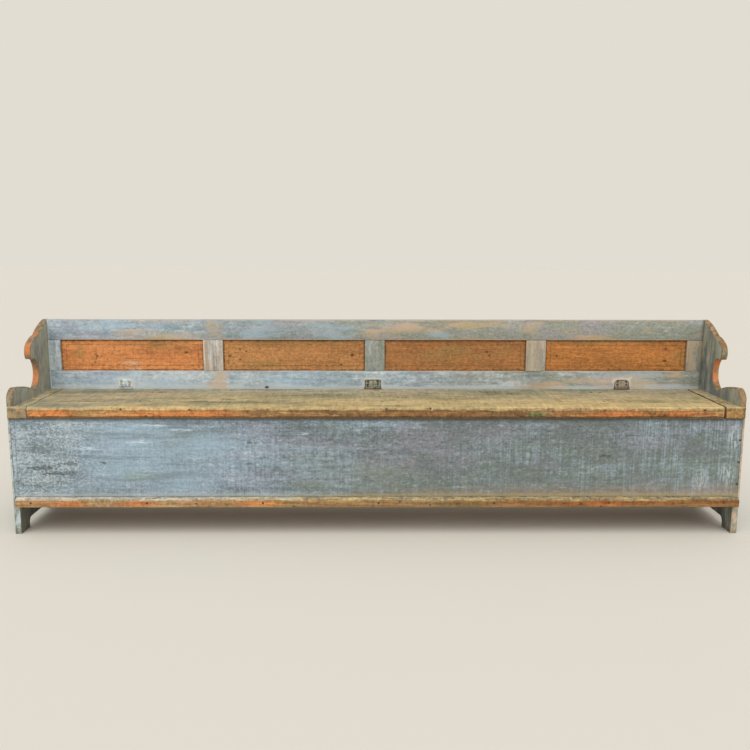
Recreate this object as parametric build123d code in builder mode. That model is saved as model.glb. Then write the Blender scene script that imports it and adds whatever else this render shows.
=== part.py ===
from build123d import *
import os

os.makedirs("parts", exist_ok=True)

# A long wall bench that pulls out into a bed. Millimetres, +Z up, +Y towards the wall, +X to the
# right of someone who stands in front of it. The origin is on the floor under the middle of the whole
# bench: half way along it, and half way between the moulding's face and the back.

# ---------------------------------------------------------------- overall sizes
bench_length = 2624.0  # over the end boards
seat_height = 470.0  # floor to the top of the lid
seat_depth = 376.0  # front edge of the end boards to the face of the back
frame_thick = 24.0  # rails, stiles and muntins of the back
end_thick = 23.0  # end boards
touch = 0.3  # running gap between faces that slide or turn past each other

# ---------------------------------------------------------------- end boards
arm_rise = 58.0  # top of the arm roll above the seat
arm_roll = 62.0  # front edge to the top of the roll
roll_bulge_back = 17.0  # point on the roll, behind the front edge
roll_bulge_drop = 7.0  # and below the arm's top
arm_crown = 7.0  # arm's top above a straight line from the roll to the notch
notch_back = 209.0  # front edge to the notch where arm and neck meet
notch_rise = 24.0  # notch above the seat
neck_back = 262.0  # deepest point of the neck
ledge_back = 238.0  # inner end of the ledge under the bulge
ledge_drop = 138.0  # ledge below the top of the back
ledge_front = 198.0  # outer end of the ledge
ledge_rise = 6.0  # outer end above the inner end
bulge_front = 190.0  # foremost point of the bulge
bulge_drop = 100.0  # that point below the top of the back
shoulder_back = 213.0  # where the bulge turns into the slope up to the cusp
shoulder_drop = 72.0
shoulder_crown = 3.5  # slope's bow out of a straight line
cusp_back = 279.0  # cusp between the bulge and the top curve
cusp_drop = 50.0  # cusp below the top of the back
top_crown = 6.5  # top curve's bow out of a straight line
foot_depth = 82.0  # front foot and back foot, along Y
foot_rise = 36.0  # height of the low cut-out between the feet
foot_round = 20.0  # corners of the cut-out

# ---------------------------------------------------------------- back frame and panels
top_rail_height = 80.0
bottom_rail_above = 72.0  # bottom rail's top edge above the seat
bottom_rail_below = 30.0  # and its lower edge below the seat, hidden behind the lid
opening_height = 122.0  # visible height of a panel
left_stile_width = 48.0
right_stile_width = 63.0
muntin_width = 78.0
panel_count = 4
panel_thick = 8.0
panel_recess = 9.0  # panel face behind the frame's face
groove_depth = 10.0
panel_play = 2.0  # room for the panels to swell, at their top and sides
tenon_length = 32.0
tenon_fit = 0.1  # gap on each side of a tenon in its mortise
top_edge_round = 3.0  # worn top edges of the back

# ---------------------------------------------------------------- lid
lid_thick = 42.0
lid_reach = 10.0  # lid and end strips stand in front of the end boards
lid_gap_left = 1.5
lid_gap_right = 8.0
nose_top = 9.0  # rounding of the front edge, above
nose_bottom = 5.0  # and below
strip_width = 49.0  # seat end strip, inside the end board
ear_inset = 4.0  # strip's ear, short of the end board's outer face
batten_count = 3
batten_inset = 390.0  # seat end strip to the middle of the outer batten
batten_width = 70.0
batten_thick = 22.0
batten_length = 280.0
batten_front = 60.0  # front edge of the end boards to the batten's front end
batten_bevel = 8.0

# ---------------------------------------------------------------- pull-out front
front_thick = 20.0  # front panel
front_lip = 7.0  # edge of the end board left outside the front panel
box_bottom = 105.0  # floor to the underside of the front panel
moulding_height = 35.0
moulding_reach = 26.0  # in front of the front panel
moulding_top_round = 13.0
moulding_bottom_round = 5.0
moulding_inset_left = 16.0
moulding_inset_right = 9.0
side_thick = 20.0
side_gap = 3.0  # between a side board and the end board
housing_depth = 8.0  # side boards let into the back of the front panel

# ---------------------------------------------------------------- bed deck
deck_height = 150.0  # floor to the underside of the slats
slat_thick = 16.0
slat_gap = 6.0
fixed_slat_count = 8
moving_slat_count = fixed_slat_count - 1
bearer_thick = 22.0  # front bearer and back ledger, fixed
ledger_thick = 20.0  # front ledger and rear rail, moving
bearer_height = 44.0
runner_thick = 25.0
deck_gap = 2.0  # between the moving ledger or rail and the fixed bearer or ledger behind it
rail_end_gap = 4.0  # rear rail and slats, short of the runners and side boards

# ---------------------------------------------------------------- hinges
hinge_in_left = 320.0  # left end of the bench to the middle of the left hinge
hinge_in_right = 338.0  # right end to the right hinge
hinge_off_middle = -15.0  # centre hinge, out of the middle of the bench
hinge_widths = {"left": 52.0, "centre": 64.0, "right": 58.0}
leaf_thick = 2.0
back_leaf_height = 33.0  # pin centre to the top of the back leaf
lid_leaf_height = 30.0
leaf_corner = 3.0
pin_radius = 2.5
pin_fit = 0.05  # radial running clearance of the pin
knuckle_radius = 4.0
knuckle_share = 0.36  # middle knuckle's part of the hinge width
knuckle_gap = 0.4
hinge_gap = 0.5  # hinge parts clear of the rail face and the lid's top

# ---------------------------------------------------------------- nails
nail_shank = 3.2
nail_head = 7.0
nail_head_thick = 1.5
long_nail = 60.0
middle_nail = 44.0
short_nail = 36.0
hinge_nail = 24.0
hinge_nail_rows = (0.42, 0.78)  # shares of the leaf's height
hinge_nail_columns = (-0.3, 0.3)  # shares of the hinge's width
clout_nail = 17.0
nail_margin = 22.0  # nail to the edge of the board that it holds
moulding_nail_count = 7
moulding_nail_margin = 56.0
ledger_nail_count = 9
ledger_nail_margin = 150.0
clout_count = 3
clout_margin = 12.0  # clout nails in from the outer face of the end board
clout_end_margin = 80.0  # and from the top and bottom of the front panel

# ---------------------------------------------------------------- places worked out from the sizes
half_length = bench_length / 2
hinge_places = {
    "left": -half_length + hinge_in_left,
    "centre": hinge_off_middle,
    "right": half_length - hinge_in_right,
}
inner_half = half_length - end_thick
case_depth = seat_depth + frame_thick
y_front = -(case_depth - moulding_reach) / 2
y_frame = y_front + seat_depth
y_back = y_front + case_depth
lid_bottom = seat_height - lid_thick
strip_inner = inner_half - strip_width
lid_left = -strip_inner + lid_gap_left
lid_right = strip_inner - lid_gap_right
opening_bottom = seat_height + bottom_rail_above
bottom_rail_bottom = seat_height - bottom_rail_below
top_rail_bottom = opening_bottom + opening_height
back_height = top_rail_bottom + top_rail_height
groove_front = y_frame + panel_recess
groove_back = groove_front + panel_thick
panel_opening = (
    2 * inner_half - left_stile_width - right_stile_width - (panel_count - 1) * muntin_width
) / panel_count
front_half = half_length - front_lip - touch
front_back_face = y_front + front_thick
front_top = lid_bottom - touch
side_outer = inner_half - side_gap
side_inner = side_outer - side_thick
bearer_bottom = deck_height - bearer_height
slat_top = deck_height + slat_thick
bearer_front = front_back_face + ledger_thick + deck_gap
bearer_back = bearer_front + bearer_thick
back_ledger_front = y_frame - bearer_thick
rear_rail_back = back_ledger_front - deck_gap
rear_rail_front = rear_rail_back - ledger_thick
runner_inner = inner_half - runner_thick
rear_rail_half = runner_inner - rail_end_gap
deck_half = side_inner - rail_end_gap / 2
slat_count = fixed_slat_count + moving_slat_count
slat_pitch = (2 * deck_half + slat_gap) / slat_count
slat_width = slat_pitch - slat_gap
y_pin = y_frame - knuckle_radius - hinge_gap
z_pin = seat_height + knuckle_radius + hinge_gap
lid_back = y_frame - hinge_gap - leaf_thick
pull_travel = rear_rail_front - bearer_back


def block(x_ends, y_ends, z_ends, mode=Mode.ADD):
    """Add, or cut, a block between two ends on each axis in the part that is open."""
    middle = [(low + high) / 2 for low, high in (x_ends, y_ends, z_ends)]
    with Locations(tuple(middle)):
        Box(x_ends[1] - x_ends[0], y_ends[1] - y_ends[0], z_ends[1] - z_ends[0], mode=mode)


def nails(places, length, proud=0.0, mode=Mode.ADD):
    """Square cut nails. Each place is a plane on the wood's surface that looks outwards."""
    tops = [Plane(spot.origin + spot.z_dir * proud, spot.x_dir, spot.z_dir).location for spot in places]
    from_top = (Align.CENTER, Align.CENTER, Align.MAX)
    with Locations(*tops):
        Box(nail_head, nail_head, nail_head_thick, align=from_top, mode=mode)
        Box(nail_shank, nail_shank, length, align=from_top, mode=mode)


def nail_holes(places, length, proud=0.0):
    """Cut the holes of some nails in the part that is open."""
    nails(places, length, proud, mode=Mode.SUBTRACT)


def facing(origin, normal):
    """Plane on a surface, square to the bench."""
    across = (0, 1, 0) if abs(normal[0]) == 1 else (1, 0, 0)
    return Plane(origin, x_dir=across, z_dir=normal)


def spread(low, high, count, margin):
    """Evenly spaced places between two ends, the outer ones a margin inside."""
    first = low + margin
    last = high - margin
    return [first + (last - first) * i / (count - 1) for i in range(count)]


def save(piece, label):
    """Name a finished piece and write it."""
    piece.part.label = label
    export_step(piece.part, f"parts/{label}.step")


sides = {"left": -1, "right": 1}


# ---------------------------------------------------------------- nail places
def end_face_nails(side, y, heights):
    """Nails through an end board from outside, at one distance from the wall."""
    return [facing((side * half_length, y, z), (side, 0, 0)) for z in heights]


frame_middle = y_frame + frame_thick / 2
board_back_face = y_frame + front_thick
board_middle = y_frame + front_thick / 2
bearer_middle = (bearer_front + bearer_back) / 2
back_ledger_middle = (back_ledger_front + y_frame) / 2
bearer_centre = deck_height - bearer_height / 2
strip_centre = seat_height - lid_thick / 2


def top_rail_nails(side):
    return end_face_nails(side, frame_middle, spread(top_rail_bottom, back_height, 2, nail_margin))


def bottom_rail_nails(side):
    return end_face_nails(
        side, frame_middle, spread(bottom_rail_bottom, opening_bottom, 2, nail_margin)
    )


def back_board_nails(side):
    return end_face_nails(side, board_middle, spread(box_bottom, bottom_rail_bottom, 3, 2 * nail_margin))


def bearer_nails(side):
    return end_face_nails(side, bearer_middle, [bearer_centre])


def back_ledger_nails(side):
    return end_face_nails(side, back_ledger_middle, [bearer_centre])


def frame_nails(side):
    """Nails from an end board into the back frame."""
    return top_rail_nails(side) + bottom_rail_nails(side)


def deck_nails(side):
    """Nails from an end board into the back board of the box, the front bearer and the back ledger."""
    return back_board_nails(side) + bearer_nails(side) + back_ledger_nails(side)


def runner_nails(side):
    places = spread(bearer_back, back_ledger_front, 3, 2 * nail_margin)
    return [facing((side * half_length, y, bearer_centre), (side, 0, 0)) for y in places]


def strip_nails(side):
    places = spread(y_front, y_frame, 3, 2 * nail_margin)
    return [facing((side * half_length, y, strip_centre), (side, 0, 0)) for y in places]


def slat_ends(index):
    """Left and right end of one slat, counted from the left through fixed and moving ones."""
    left = -deck_half + index * slat_pitch
    return left, left + slat_width


def slat_nails(index, y):
    """Two nails down through a slat into what carries it."""
    left, right = slat_ends(index)
    return [facing((x, y, slat_top), (0, 0, 1)) for x in spread(left, right, 2, nail_margin)]


def hinge_back_nails(name):
    """Four nails through the back leaf of a hinge into the bottom rail of the back."""
    rows = [z_pin + back_leaf_height * share for share in hinge_nail_rows]
    return [
        facing((hinge_places[name] + dx * hinge_widths[name], y_frame, z), (0, -1, 0))
        for dx in hinge_nail_columns
        for z in rows
    ]


def hinge_lid_nails(name):
    """Four nails through the lid leaf of a hinge into the back edge of the lid."""
    rows = [z_pin - lid_leaf_height * share for share in hinge_nail_rows]
    return [
        facing((hinge_places[name] + dx * hinge_widths[name], lid_back + leaf_thick, z), (0, 1, 0))
        for dx in hinge_nail_columns
        for z in rows
    ]


fixed_slats = range(0, slat_count, 2)
moving_slats = range(1, slat_count, 2)
ledger_middle = front_back_face + ledger_thick / 2
rear_rail_middle = rear_rail_front + ledger_thick / 2
back_ledger_slat_nails = [spot for i in fixed_slats for spot in slat_nails(i, back_ledger_middle)]
bearer_slat_nails = [spot for i in fixed_slats for spot in slat_nails(i, bearer_middle)]
ledger_slat_nails = [spot for i in moving_slats for spot in slat_nails(i, ledger_middle)]
rear_rail_slat_nails = [spot for i in moving_slats for spot in slat_nails(i, rear_rail_middle)]


# ---------------------------------------------------------------- end boards
def crowned(start, end, crown):
    """Middle of a line from start to end, moved up off the line by a crown."""
    across = (end[0] - start[0], end[1] - start[1])
    length = (across[0] ** 2 + across[1] ** 2) ** 0.5
    middle = ((start[0] + end[0]) / 2, (start[1] + end[1]) / 2)
    return middle[0] - across[1] / length * crown, middle[1] + across[0] / length * crown


def end_board(label, side):
    """Shaped end board: arm roll, neck, bulge and rounded top, with a front and a back foot."""
    arm_top = (y_front + arm_roll, seat_height + arm_rise)
    roll_foot = (y_front, seat_height + arm_rise / 2)
    roll_bulge = (y_front + roll_bulge_back, seat_height + arm_rise - roll_bulge_drop)
    notch = (y_front + notch_back, seat_height + notch_rise)
    ledge_inner = (y_front + ledge_back, back_height - ledge_drop)
    ledge_outer = (y_front + ledge_front, back_height - ledge_drop + ledge_rise)
    neck_middle = (y_front + neck_back, (notch[1] + ledge_inner[1]) / 2)
    bulge = (y_front + bulge_front, back_height - bulge_drop)
    shoulder = (y_front + shoulder_back, back_height - shoulder_drop)
    cusp = (y_front + cusp_back, back_height - cusp_drop)
    top_corner = (y_back, back_height)
    with BuildPart() as board:
        with BuildSketch(Plane.YZ.offset(side * half_length)):
            with BuildLine():
                Line((y_front, 0), roll_foot)
                ThreePointArc(roll_foot, roll_bulge, arm_top)
                ThreePointArc(arm_top, crowned(arm_top, notch, arm_crown), notch)
                ThreePointArc(notch, neck_middle, ledge_inner)
                Line(ledge_inner, ledge_outer)
                ThreePointArc(ledge_outer, bulge, shoulder)
                ThreePointArc(shoulder, crowned(shoulder, cusp, shoulder_crown), cusp)
                ThreePointArc(cusp, crowned(cusp, top_corner, top_crown), top_corner)
                Line((y_back, back_height), (y_back, 0))
                Line((y_back, 0), (y_front, 0))
            make_face()
            with Locations(((y_front + y_back) / 2, 0)):
                RectangleRounded(
                    case_depth - 2 * foot_depth, 2 * foot_rise, foot_round, mode=Mode.SUBTRACT
                )
        extrude(amount=-side * end_thick)
        rebate_x = sorted((side * (half_length - front_lip), side * inner_half))
        block(
            rebate_x,
            (y_front, front_back_face + touch),
            (box_bottom - touch, lid_bottom),
            mode=Mode.SUBTRACT,
        )
        nail_holes(frame_nails(side) + deck_nails(side), long_nail)
        nail_holes(runner_nails(side) + strip_nails(side), middle_nail)
    save(board, label)


for name, side in sides.items():
    end_board(f"{name}_end_board", side)


# ---------------------------------------------------------------- back frame
opening_lefts = [
    -inner_half + left_stile_width + i * (panel_opening + muntin_width) for i in range(panel_count)
]
upright_spans = {"back_stile_left": (-inner_half, opening_lefts[0])}
for i in range(1, panel_count):
    upright_spans[f"back_muntin_{i}"] = (opening_lefts[i] - muntin_width, opening_lefts[i])
upright_spans["back_stile_right"] = (inner_half - right_stile_width, inner_half)


def mortises(z_ends):
    """Cut the mortises of all uprights in a rail."""
    for left, right in upright_spans.values():
        block(
            (left + groove_depth - tenon_fit, right - groove_depth + tenon_fit),
            (groove_front - tenon_fit, groove_back + tenon_fit),
            z_ends,
            mode=Mode.SUBTRACT,
        )


with BuildPart() as back_top_rail:
    with BuildSketch(Plane.YZ.offset(-inner_half)) as rail_section:
        with Locations((frame_middle, back_height - top_rail_height / 2)):
            Rectangle(frame_thick, top_rail_height)
        fillet(rail_section.vertices().group_by(Axis.Y)[-1], radius=top_edge_round)
    extrude(amount=2 * inner_half)
    block(
        (-inner_half, inner_half),
        (groove_front - tenon_fit, groove_back + tenon_fit),
        (top_rail_bottom, top_rail_bottom + groove_depth),
        mode=Mode.SUBTRACT,
    )
    mortises((top_rail_bottom, top_rail_bottom + tenon_length + tenon_fit))
    nail_holes(top_rail_nails(-1) + top_rail_nails(1), long_nail)
save(back_top_rail, "back_top_rail")

with BuildPart() as back_bottom_rail:
    block((-inner_half, inner_half), (y_frame, y_back), (bottom_rail_bottom, opening_bottom))
    block(
        (-inner_half, inner_half),
        (groove_front - tenon_fit, groove_back + tenon_fit),
        (opening_bottom - groove_depth, opening_bottom),
        mode=Mode.SUBTRACT,
    )
    mortises((opening_bottom - tenon_length - tenon_fit, opening_bottom))
    nail_holes(bottom_rail_nails(-1) + bottom_rail_nails(1), long_nail)
    for name in hinge_places:
        nail_holes(hinge_back_nails(name), hinge_nail, leaf_thick + nail_head_thick)
save(back_bottom_rail, "back_bottom_rail")


def upright(label, x_ends):
    """Stile or muntin between the rails: a tenon at each end, and grooves for its panels."""
    left, right = x_ends
    with BuildPart() as piece:
        block(x_ends, (y_frame, y_back), (opening_bottom, top_rail_bottom))
        for groove_left in (left, right - groove_depth):
            if abs(groove_left) < inner_half - 2 * groove_depth:
                block(
                    (groove_left, groove_left + groove_depth),
                    (groove_front - tenon_fit, groove_back + tenon_fit),
                    (opening_bottom, top_rail_bottom),
                    mode=Mode.SUBTRACT,
                )
        block(
            (left + groove_depth, right - groove_depth),
            (groove_front, groove_back),
            (opening_bottom - tenon_length, opening_bottom),
        )
        block(
            (left + groove_depth, right - groove_depth),
            (groove_front, groove_back),
            (top_rail_bottom, top_rail_bottom + tenon_length),
        )
        if label == "back_stile_left":
            nail_holes(frame_nails(-1), long_nail)
        if label == "back_stile_right":
            nail_holes(frame_nails(1), long_nail)
    save(piece, label)


for label, x_ends in upright_spans.items():
    upright(label, x_ends)

for i, left in enumerate(opening_lefts):
    with BuildPart() as back_panel:
        block(
            (left - groove_depth + panel_play, left + panel_opening + groove_depth - panel_play),
            (groove_front, groove_back),
            (opening_bottom - groove_depth, top_rail_bottom + groove_depth - panel_play),
        )
    save(back_panel, f"back_panel_{i + 1}")

with BuildPart() as box_back_board:
    block((-inner_half, inner_half), (y_frame, board_back_face), (box_bottom, bottom_rail_bottom))
    nail_holes(back_board_nails(-1) + back_board_nails(1), long_nail)
save(box_back_board, "box_back_board")

# ---------------------------------------------------------------- seat end strips
for name, side in sides.items():
    with BuildPart() as seat_end_strip:
        with BuildSketch(Plane.XY.offset(lid_bottom)):
            with BuildLine():
                Polyline(
                    (side * strip_inner, y_front - lid_reach),
                    (side * (half_length - ear_inset), y_front - lid_reach),
                    (side * (half_length - ear_inset), y_front),
                    (side * inner_half, y_front),
                    (side * inner_half, y_frame),
                    (side * strip_inner, y_frame),
                    close=True,
                )
            make_face()
        extrude(amount=lid_thick)
        nose_edges = seat_end_strip.edges().filter_by(Axis.X).group_by(Axis.Y)[0]
        fillet(nose_edges.sort_by(Axis.Z)[-1], radius=nose_top)
        nose_edges = seat_end_strip.edges().filter_by(Axis.X).group_by(Axis.Y)[0]
        fillet(nose_edges.sort_by(Axis.Z)[0], radius=nose_bottom)
        nail_holes(strip_nails(side), middle_nail)
    save(seat_end_strip, f"seat_end_strip_{name}")

# ---------------------------------------------------------------- fixed part of the bed deck
for name, side in sides.items():
    with BuildPart() as runner:
        block(
            sorted((side * runner_inner, side * inner_half)),
            (bearer_back, back_ledger_front),
            (bearer_bottom, deck_height),
        )
        nail_holes(runner_nails(side), middle_nail)
    save(runner, f"runner_{name}")

with BuildPart() as front_bearer:
    block((-inner_half, inner_half), (bearer_front, bearer_back), (bearer_bottom, deck_height))
    nail_holes(bearer_nails(-1) + bearer_nails(1), long_nail)
    nail_holes(bearer_slat_nails, short_nail)
save(front_bearer, "front_bearer")

with BuildPart() as back_ledger:
    block((-inner_half, inner_half), (back_ledger_front, y_frame), (bearer_bottom, deck_height))
    nail_holes(back_ledger_nails(-1) + back_ledger_nails(1), long_nail)
    nail_holes(back_ledger_slat_nails, short_nail)
save(back_ledger, "back_ledger")

for number, index in enumerate(fixed_slats, start=1):
    with BuildPart() as fixed_slat:
        block(slat_ends(index), (bearer_front, y_frame), (deck_height, slat_top))
        nail_holes(slat_nails(index, bearer_middle), short_nail)
        nail_holes(slat_nails(index, back_ledger_middle), short_nail)
    save(fixed_slat, f"fixed_slat_{number}")

# ---------------------------------------------------------------- lid
batten_bottom = lid_bottom - batten_thick
batten_back = y_front + batten_front + batten_length
batten_middles = spread(-strip_inner, strip_inner, batten_count, batten_inset)


def batten_nails(x):
    """Four nails down through the lid into one batten."""
    return [
        facing((x + dx, y, seat_height), (0, 0, 1))
        for dx in (-batten_width / 4, batten_width / 4)
        for y in spread(y_front + batten_front, batten_back, 2, 2 * nail_margin)
    ]


all_batten_nails = [spot for x in batten_middles for spot in batten_nails(x)]
batten_nail = lid_thick + batten_thick - 2 * deck_gap

with BuildPart() as lid_board:
    with BuildSketch(Plane.YZ.offset(lid_left)) as lid_section:
        with Locations(((y_front - lid_reach + lid_back) / 2, (lid_bottom + seat_height) / 2)):
            Rectangle(lid_back - y_front + lid_reach, lid_thick)
        fillet(lid_section.vertices().group_by(Axis.Y)[-1].sort_by(Axis.X)[0], radius=nose_top)
        fillet(lid_section.vertices().group_by(Axis.Y)[0].sort_by(Axis.X)[0], radius=nose_bottom)
    extrude(amount=lid_right - lid_left)
    nail_holes(all_batten_nails, batten_nail)
    for name in hinge_places:
        nail_holes(hinge_lid_nails(name), hinge_nail)
save(lid_board, "lid_board")

for i, x in enumerate(batten_middles, start=1):
    with BuildPart() as lid_batten:
        batten_x = (x - batten_width / 2, x + batten_width / 2)
        block(batten_x, (y_front + batten_front, batten_back), (batten_bottom, lid_bottom))
        end_edges = lid_batten.edges().filter_by(Axis.X).group_by(Axis.Z)[0]
        chamfer(end_edges, length=batten_bevel)
        nail_holes(batten_nails(x), batten_nail)
    save(lid_batten, f"lid_batten_{i}")

# ---------------------------------------------------------------- pull-out front
moulding_left = -half_length + moulding_inset_left
moulding_right = half_length - moulding_inset_right
moulding_face = y_front - moulding_reach
moulding_top = box_bottom + moulding_height
moulding_nails = [
    facing((x, moulding_face, (box_bottom + moulding_top) / 2), (0, -1, 0))
    for x in spread(moulding_left, moulding_right, moulding_nail_count, moulding_nail_margin)
]
ledger_nails = [
    facing((x, front_back_face + ledger_thick, bearer_centre), (0, 1, 0))
    for x in spread(-rear_rail_half, rear_rail_half, ledger_nail_count, ledger_nail_margin)
]
clout_nails = [
    facing((half_length - clout_margin, y_front, z), (0, -1, 0))
    for z in spread(box_bottom, front_top, clout_count, clout_end_margin)
]
ledger_nail = ledger_thick + front_thick / 2
moulding_nail = moulding_reach + front_thick / 2

with BuildPart() as front_panel:
    block((-front_half, front_half), (y_front, front_back_face), (box_bottom, front_top))
    for side in sides.values():
        block(
            sorted((side * side_inner, side * side_outer)),
            (front_back_face - housing_depth, front_back_face),
            (deck_height, front_top),
            mode=Mode.SUBTRACT,
        )
    nail_holes(moulding_nails, moulding_nail)
    nail_holes(ledger_nails, ledger_nail)
    nail_holes(clout_nails, clout_nail)
save(front_panel, "front_panel")

with BuildPart() as front_moulding:
    with BuildSketch(Plane.YZ.offset(moulding_left)) as moulding_section:
        with Locations(((moulding_face + y_front) / 2, (box_bottom + moulding_top) / 2)):
            Rectangle(moulding_reach, moulding_height)
        top_corner = moulding_section.vertices().group_by(Axis.Y)[-1].sort_by(Axis.X)[0]
        fillet(top_corner, moulding_top_round)
        bottom_corner = moulding_section.vertices().group_by(Axis.Y)[0].sort_by(Axis.X)[0]
        fillet(bottom_corner, moulding_bottom_round)
    extrude(amount=moulding_right - moulding_left)
    nail_holes(moulding_nails, moulding_nail)
save(front_moulding, "front_moulding")

for name, side in sides.items():
    with BuildPart() as pull_side:
        block(
            sorted((side * side_inner, side * side_outer)),
            (front_back_face - housing_depth, rear_rail_back),
            (deck_height, front_top),
        )
    save(pull_side, f"pull_side_{name}")

with BuildPart() as front_ledger:
    block(
        (-rear_rail_half, rear_rail_half),
        (front_back_face, front_back_face + ledger_thick),
        (bearer_bottom, deck_height),
    )
    nail_holes(ledger_nails, ledger_nail)
    nail_holes(ledger_slat_nails, short_nail)
save(front_ledger, "front_ledger")

with BuildPart() as rear_rail:
    block(
        (-rear_rail_half, rear_rail_half),
        (rear_rail_front, rear_rail_back),
        (bearer_bottom, deck_height),
    )
    nail_holes(rear_rail_slat_nails, short_nail)
save(rear_rail, "rear_rail")

for number, index in enumerate(moving_slats, start=1):
    with BuildPart() as moving_slat:
        block(slat_ends(index), (front_back_face, rear_rail_back), (deck_height, slat_top))
        nail_holes(slat_nails(index, ledger_middle), short_nail)
        nail_holes(slat_nails(index, rear_rail_middle), short_nail)
    save(moving_slat, f"moving_slat_{number}")


# ---------------------------------------------------------------- hinges
def leaf_plate(x_ends, z_from_pin, y_leaf, middle_from_pin, knuckle):
    """Flat of a leaf: full width beyond the knuckles, and only its own knuckles beside the pin."""
    near, far = z_from_pin
    block(x_ends, y_leaf, sorted((z_pin + near, z_pin + far)))
    for low, high in knuckle:
        block((low, high), y_leaf, sorted((z_pin + middle_from_pin, z_pin + near)))


def knuckles(spans):
    """Rolled knuckles round the pin, one for each span along the hinge."""
    for low, high in spans:
        with Locations(Location(((low + high) / 2, y_pin, z_pin), (0, 90, 0))):
            Cylinder(knuckle_radius, high - low)


def pin_bore(x_ends):
    """Bore of the knuckles."""
    with Locations(Location((sum(x_ends) / 2, y_pin, z_pin), (0, 90, 0))):
        Cylinder(pin_radius + pin_fit, x_ends[1] - x_ends[0], mode=Mode.SUBTRACT)


for name, x in hinge_places.items():
    width = hinge_widths[name]
    x_ends = (x - width / 2, x + width / 2)
    middle = (x - width * knuckle_share / 2, x + width * knuckle_share / 2)
    outer = [(x_ends[0], middle[0] - knuckle_gap), (middle[1] + knuckle_gap, x_ends[1])]
    clear = knuckle_radius + hinge_gap
    with BuildPart() as hinge_back_leaf:
        leaf_plate(x_ends, (clear, back_leaf_height), (y_frame - leaf_thick, y_frame), 0, outer)
        corners = hinge_back_leaf.edges().filter_by(Axis.Y).group_by(Axis.Z)[-1]
        chamfer(corners, length=leaf_corner)
        knuckles(outer)
        pin_bore(x_ends)
        nail_holes(hinge_back_nails(name), hinge_nail, leaf_thick + nail_head_thick)
    save(hinge_back_leaf, f"hinge_back_leaf_{name}")

    with BuildPart() as hinge_lid_leaf:
        leaf_plate(x_ends, (-clear, -lid_leaf_height), (lid_back, lid_back + leaf_thick), 0, [middle])
        corners = hinge_lid_leaf.edges().filter_by(Axis.Y).group_by(Axis.Z)[0]
        chamfer(corners, length=leaf_corner)
        knuckles([middle])
        pin_bore(x_ends)
        nail_holes(hinge_lid_nails(name), hinge_nail)
    save(hinge_lid_leaf, f"hinge_lid_leaf_{name}")

    with BuildPart() as hinge_pin:
        with Locations(Location((x, y_pin, z_pin), (0, 90, 0))):
            Cylinder(pin_radius, width + 2 * pin_radius)
        chamfer(hinge_pin.edges(), length=pin_radius / 4)
    save(hinge_pin, f"hinge_pin_{name}")

# ---------------------------------------------------------------- nails, one node for each kind of work
with BuildPart() as carcass_nails:
    for side in sides.values():
        nails(frame_nails(side) + deck_nails(side), long_nail)
        nails(runner_nails(side) + strip_nails(side), middle_nail)
    nails(bearer_slat_nails + back_ledger_slat_nails, short_nail)
save(carcass_nails, "carcass_nails")

with BuildPart() as pull_out_nails:
    nails(ledger_slat_nails + rear_rail_slat_nails, short_nail)
    nails(moulding_nails, moulding_nail)
    nails(ledger_nails, ledger_nail)
    nails(clout_nails, clout_nail)
save(pull_out_nails, "pull_out_nails")

with BuildPart() as lid_batten_nails:
    nails(all_batten_nails, batten_nail)
save(lid_batten_nails, "lid_batten_nails")

with BuildPart() as hinge_nails_on_back:
    for name in hinge_places:
        nails(hinge_back_nails(name), hinge_nail, leaf_thick + nail_head_thick)
save(hinge_nails_on_back, "hinge_back_nails")

with BuildPart() as hinge_nails_on_lid:
    for name in hinge_places:
        nails(hinge_lid_nails(name), hinge_nail)
save(hinge_nails_on_lid, "hinge_lid_nails")
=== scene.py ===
"""A long wall bench that pulls out into a bed: pine boards under old milk paint, with forged hinges."""

import math
from contextlib import contextmanager

import bmesh
import bpy
from mathutils import Matrix, Vector
from mathutils.kdtree import KDTree


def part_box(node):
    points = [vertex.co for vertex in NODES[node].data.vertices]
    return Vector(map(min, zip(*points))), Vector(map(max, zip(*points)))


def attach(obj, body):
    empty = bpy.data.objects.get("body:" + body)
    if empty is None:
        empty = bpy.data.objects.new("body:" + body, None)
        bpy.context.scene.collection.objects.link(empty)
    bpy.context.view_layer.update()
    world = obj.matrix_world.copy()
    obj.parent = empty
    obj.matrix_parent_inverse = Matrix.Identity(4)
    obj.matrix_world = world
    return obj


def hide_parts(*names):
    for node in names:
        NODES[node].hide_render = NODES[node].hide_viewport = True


bl_info = {
    "name": "Pull-out bench",
    "version": (1, 0, 0),
    "blender": (4, 5, 0),
    "location": "View3D > Sidebar > Bench",
    "description": "Dresses a long painted bench that pulls out into a bed",
    "category": "Add Mesh",
}

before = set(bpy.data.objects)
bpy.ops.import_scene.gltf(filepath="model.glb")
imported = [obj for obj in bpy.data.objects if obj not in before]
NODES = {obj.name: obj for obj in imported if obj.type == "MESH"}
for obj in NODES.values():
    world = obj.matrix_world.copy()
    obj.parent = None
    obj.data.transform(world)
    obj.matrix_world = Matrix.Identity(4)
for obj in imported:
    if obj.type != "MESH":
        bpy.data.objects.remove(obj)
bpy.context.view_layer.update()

AXES = "XYZ"
X, Y, Z = range(3)
# distance between the saw cuts that let a face bend, and where it takes dents or a worn outline
PITCH = 0.03
FINE_PITCH = 0.012
# what lies nearer to a face than this belongs to it
NEAR = 0.001
PANELS = [f"back_panel_{i}" for i in (1, 2, 3, 4)]
POSTS = ["back_stile_left", *(f"back_muntin_{i}" for i in (1, 2, 3)), "back_stile_right"]


# ---------------------------------------------------------------- what a user can change


def length(name, description, default):
    """A size in metres, at most a decimetre."""
    return bpy.props.FloatProperty(
        name=name,
        description=description,
        default=default,
        min=0.0,
        max=0.1,
        precision=4,
        subtype="DISTANCE",
        unit="LENGTH",
    )


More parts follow.
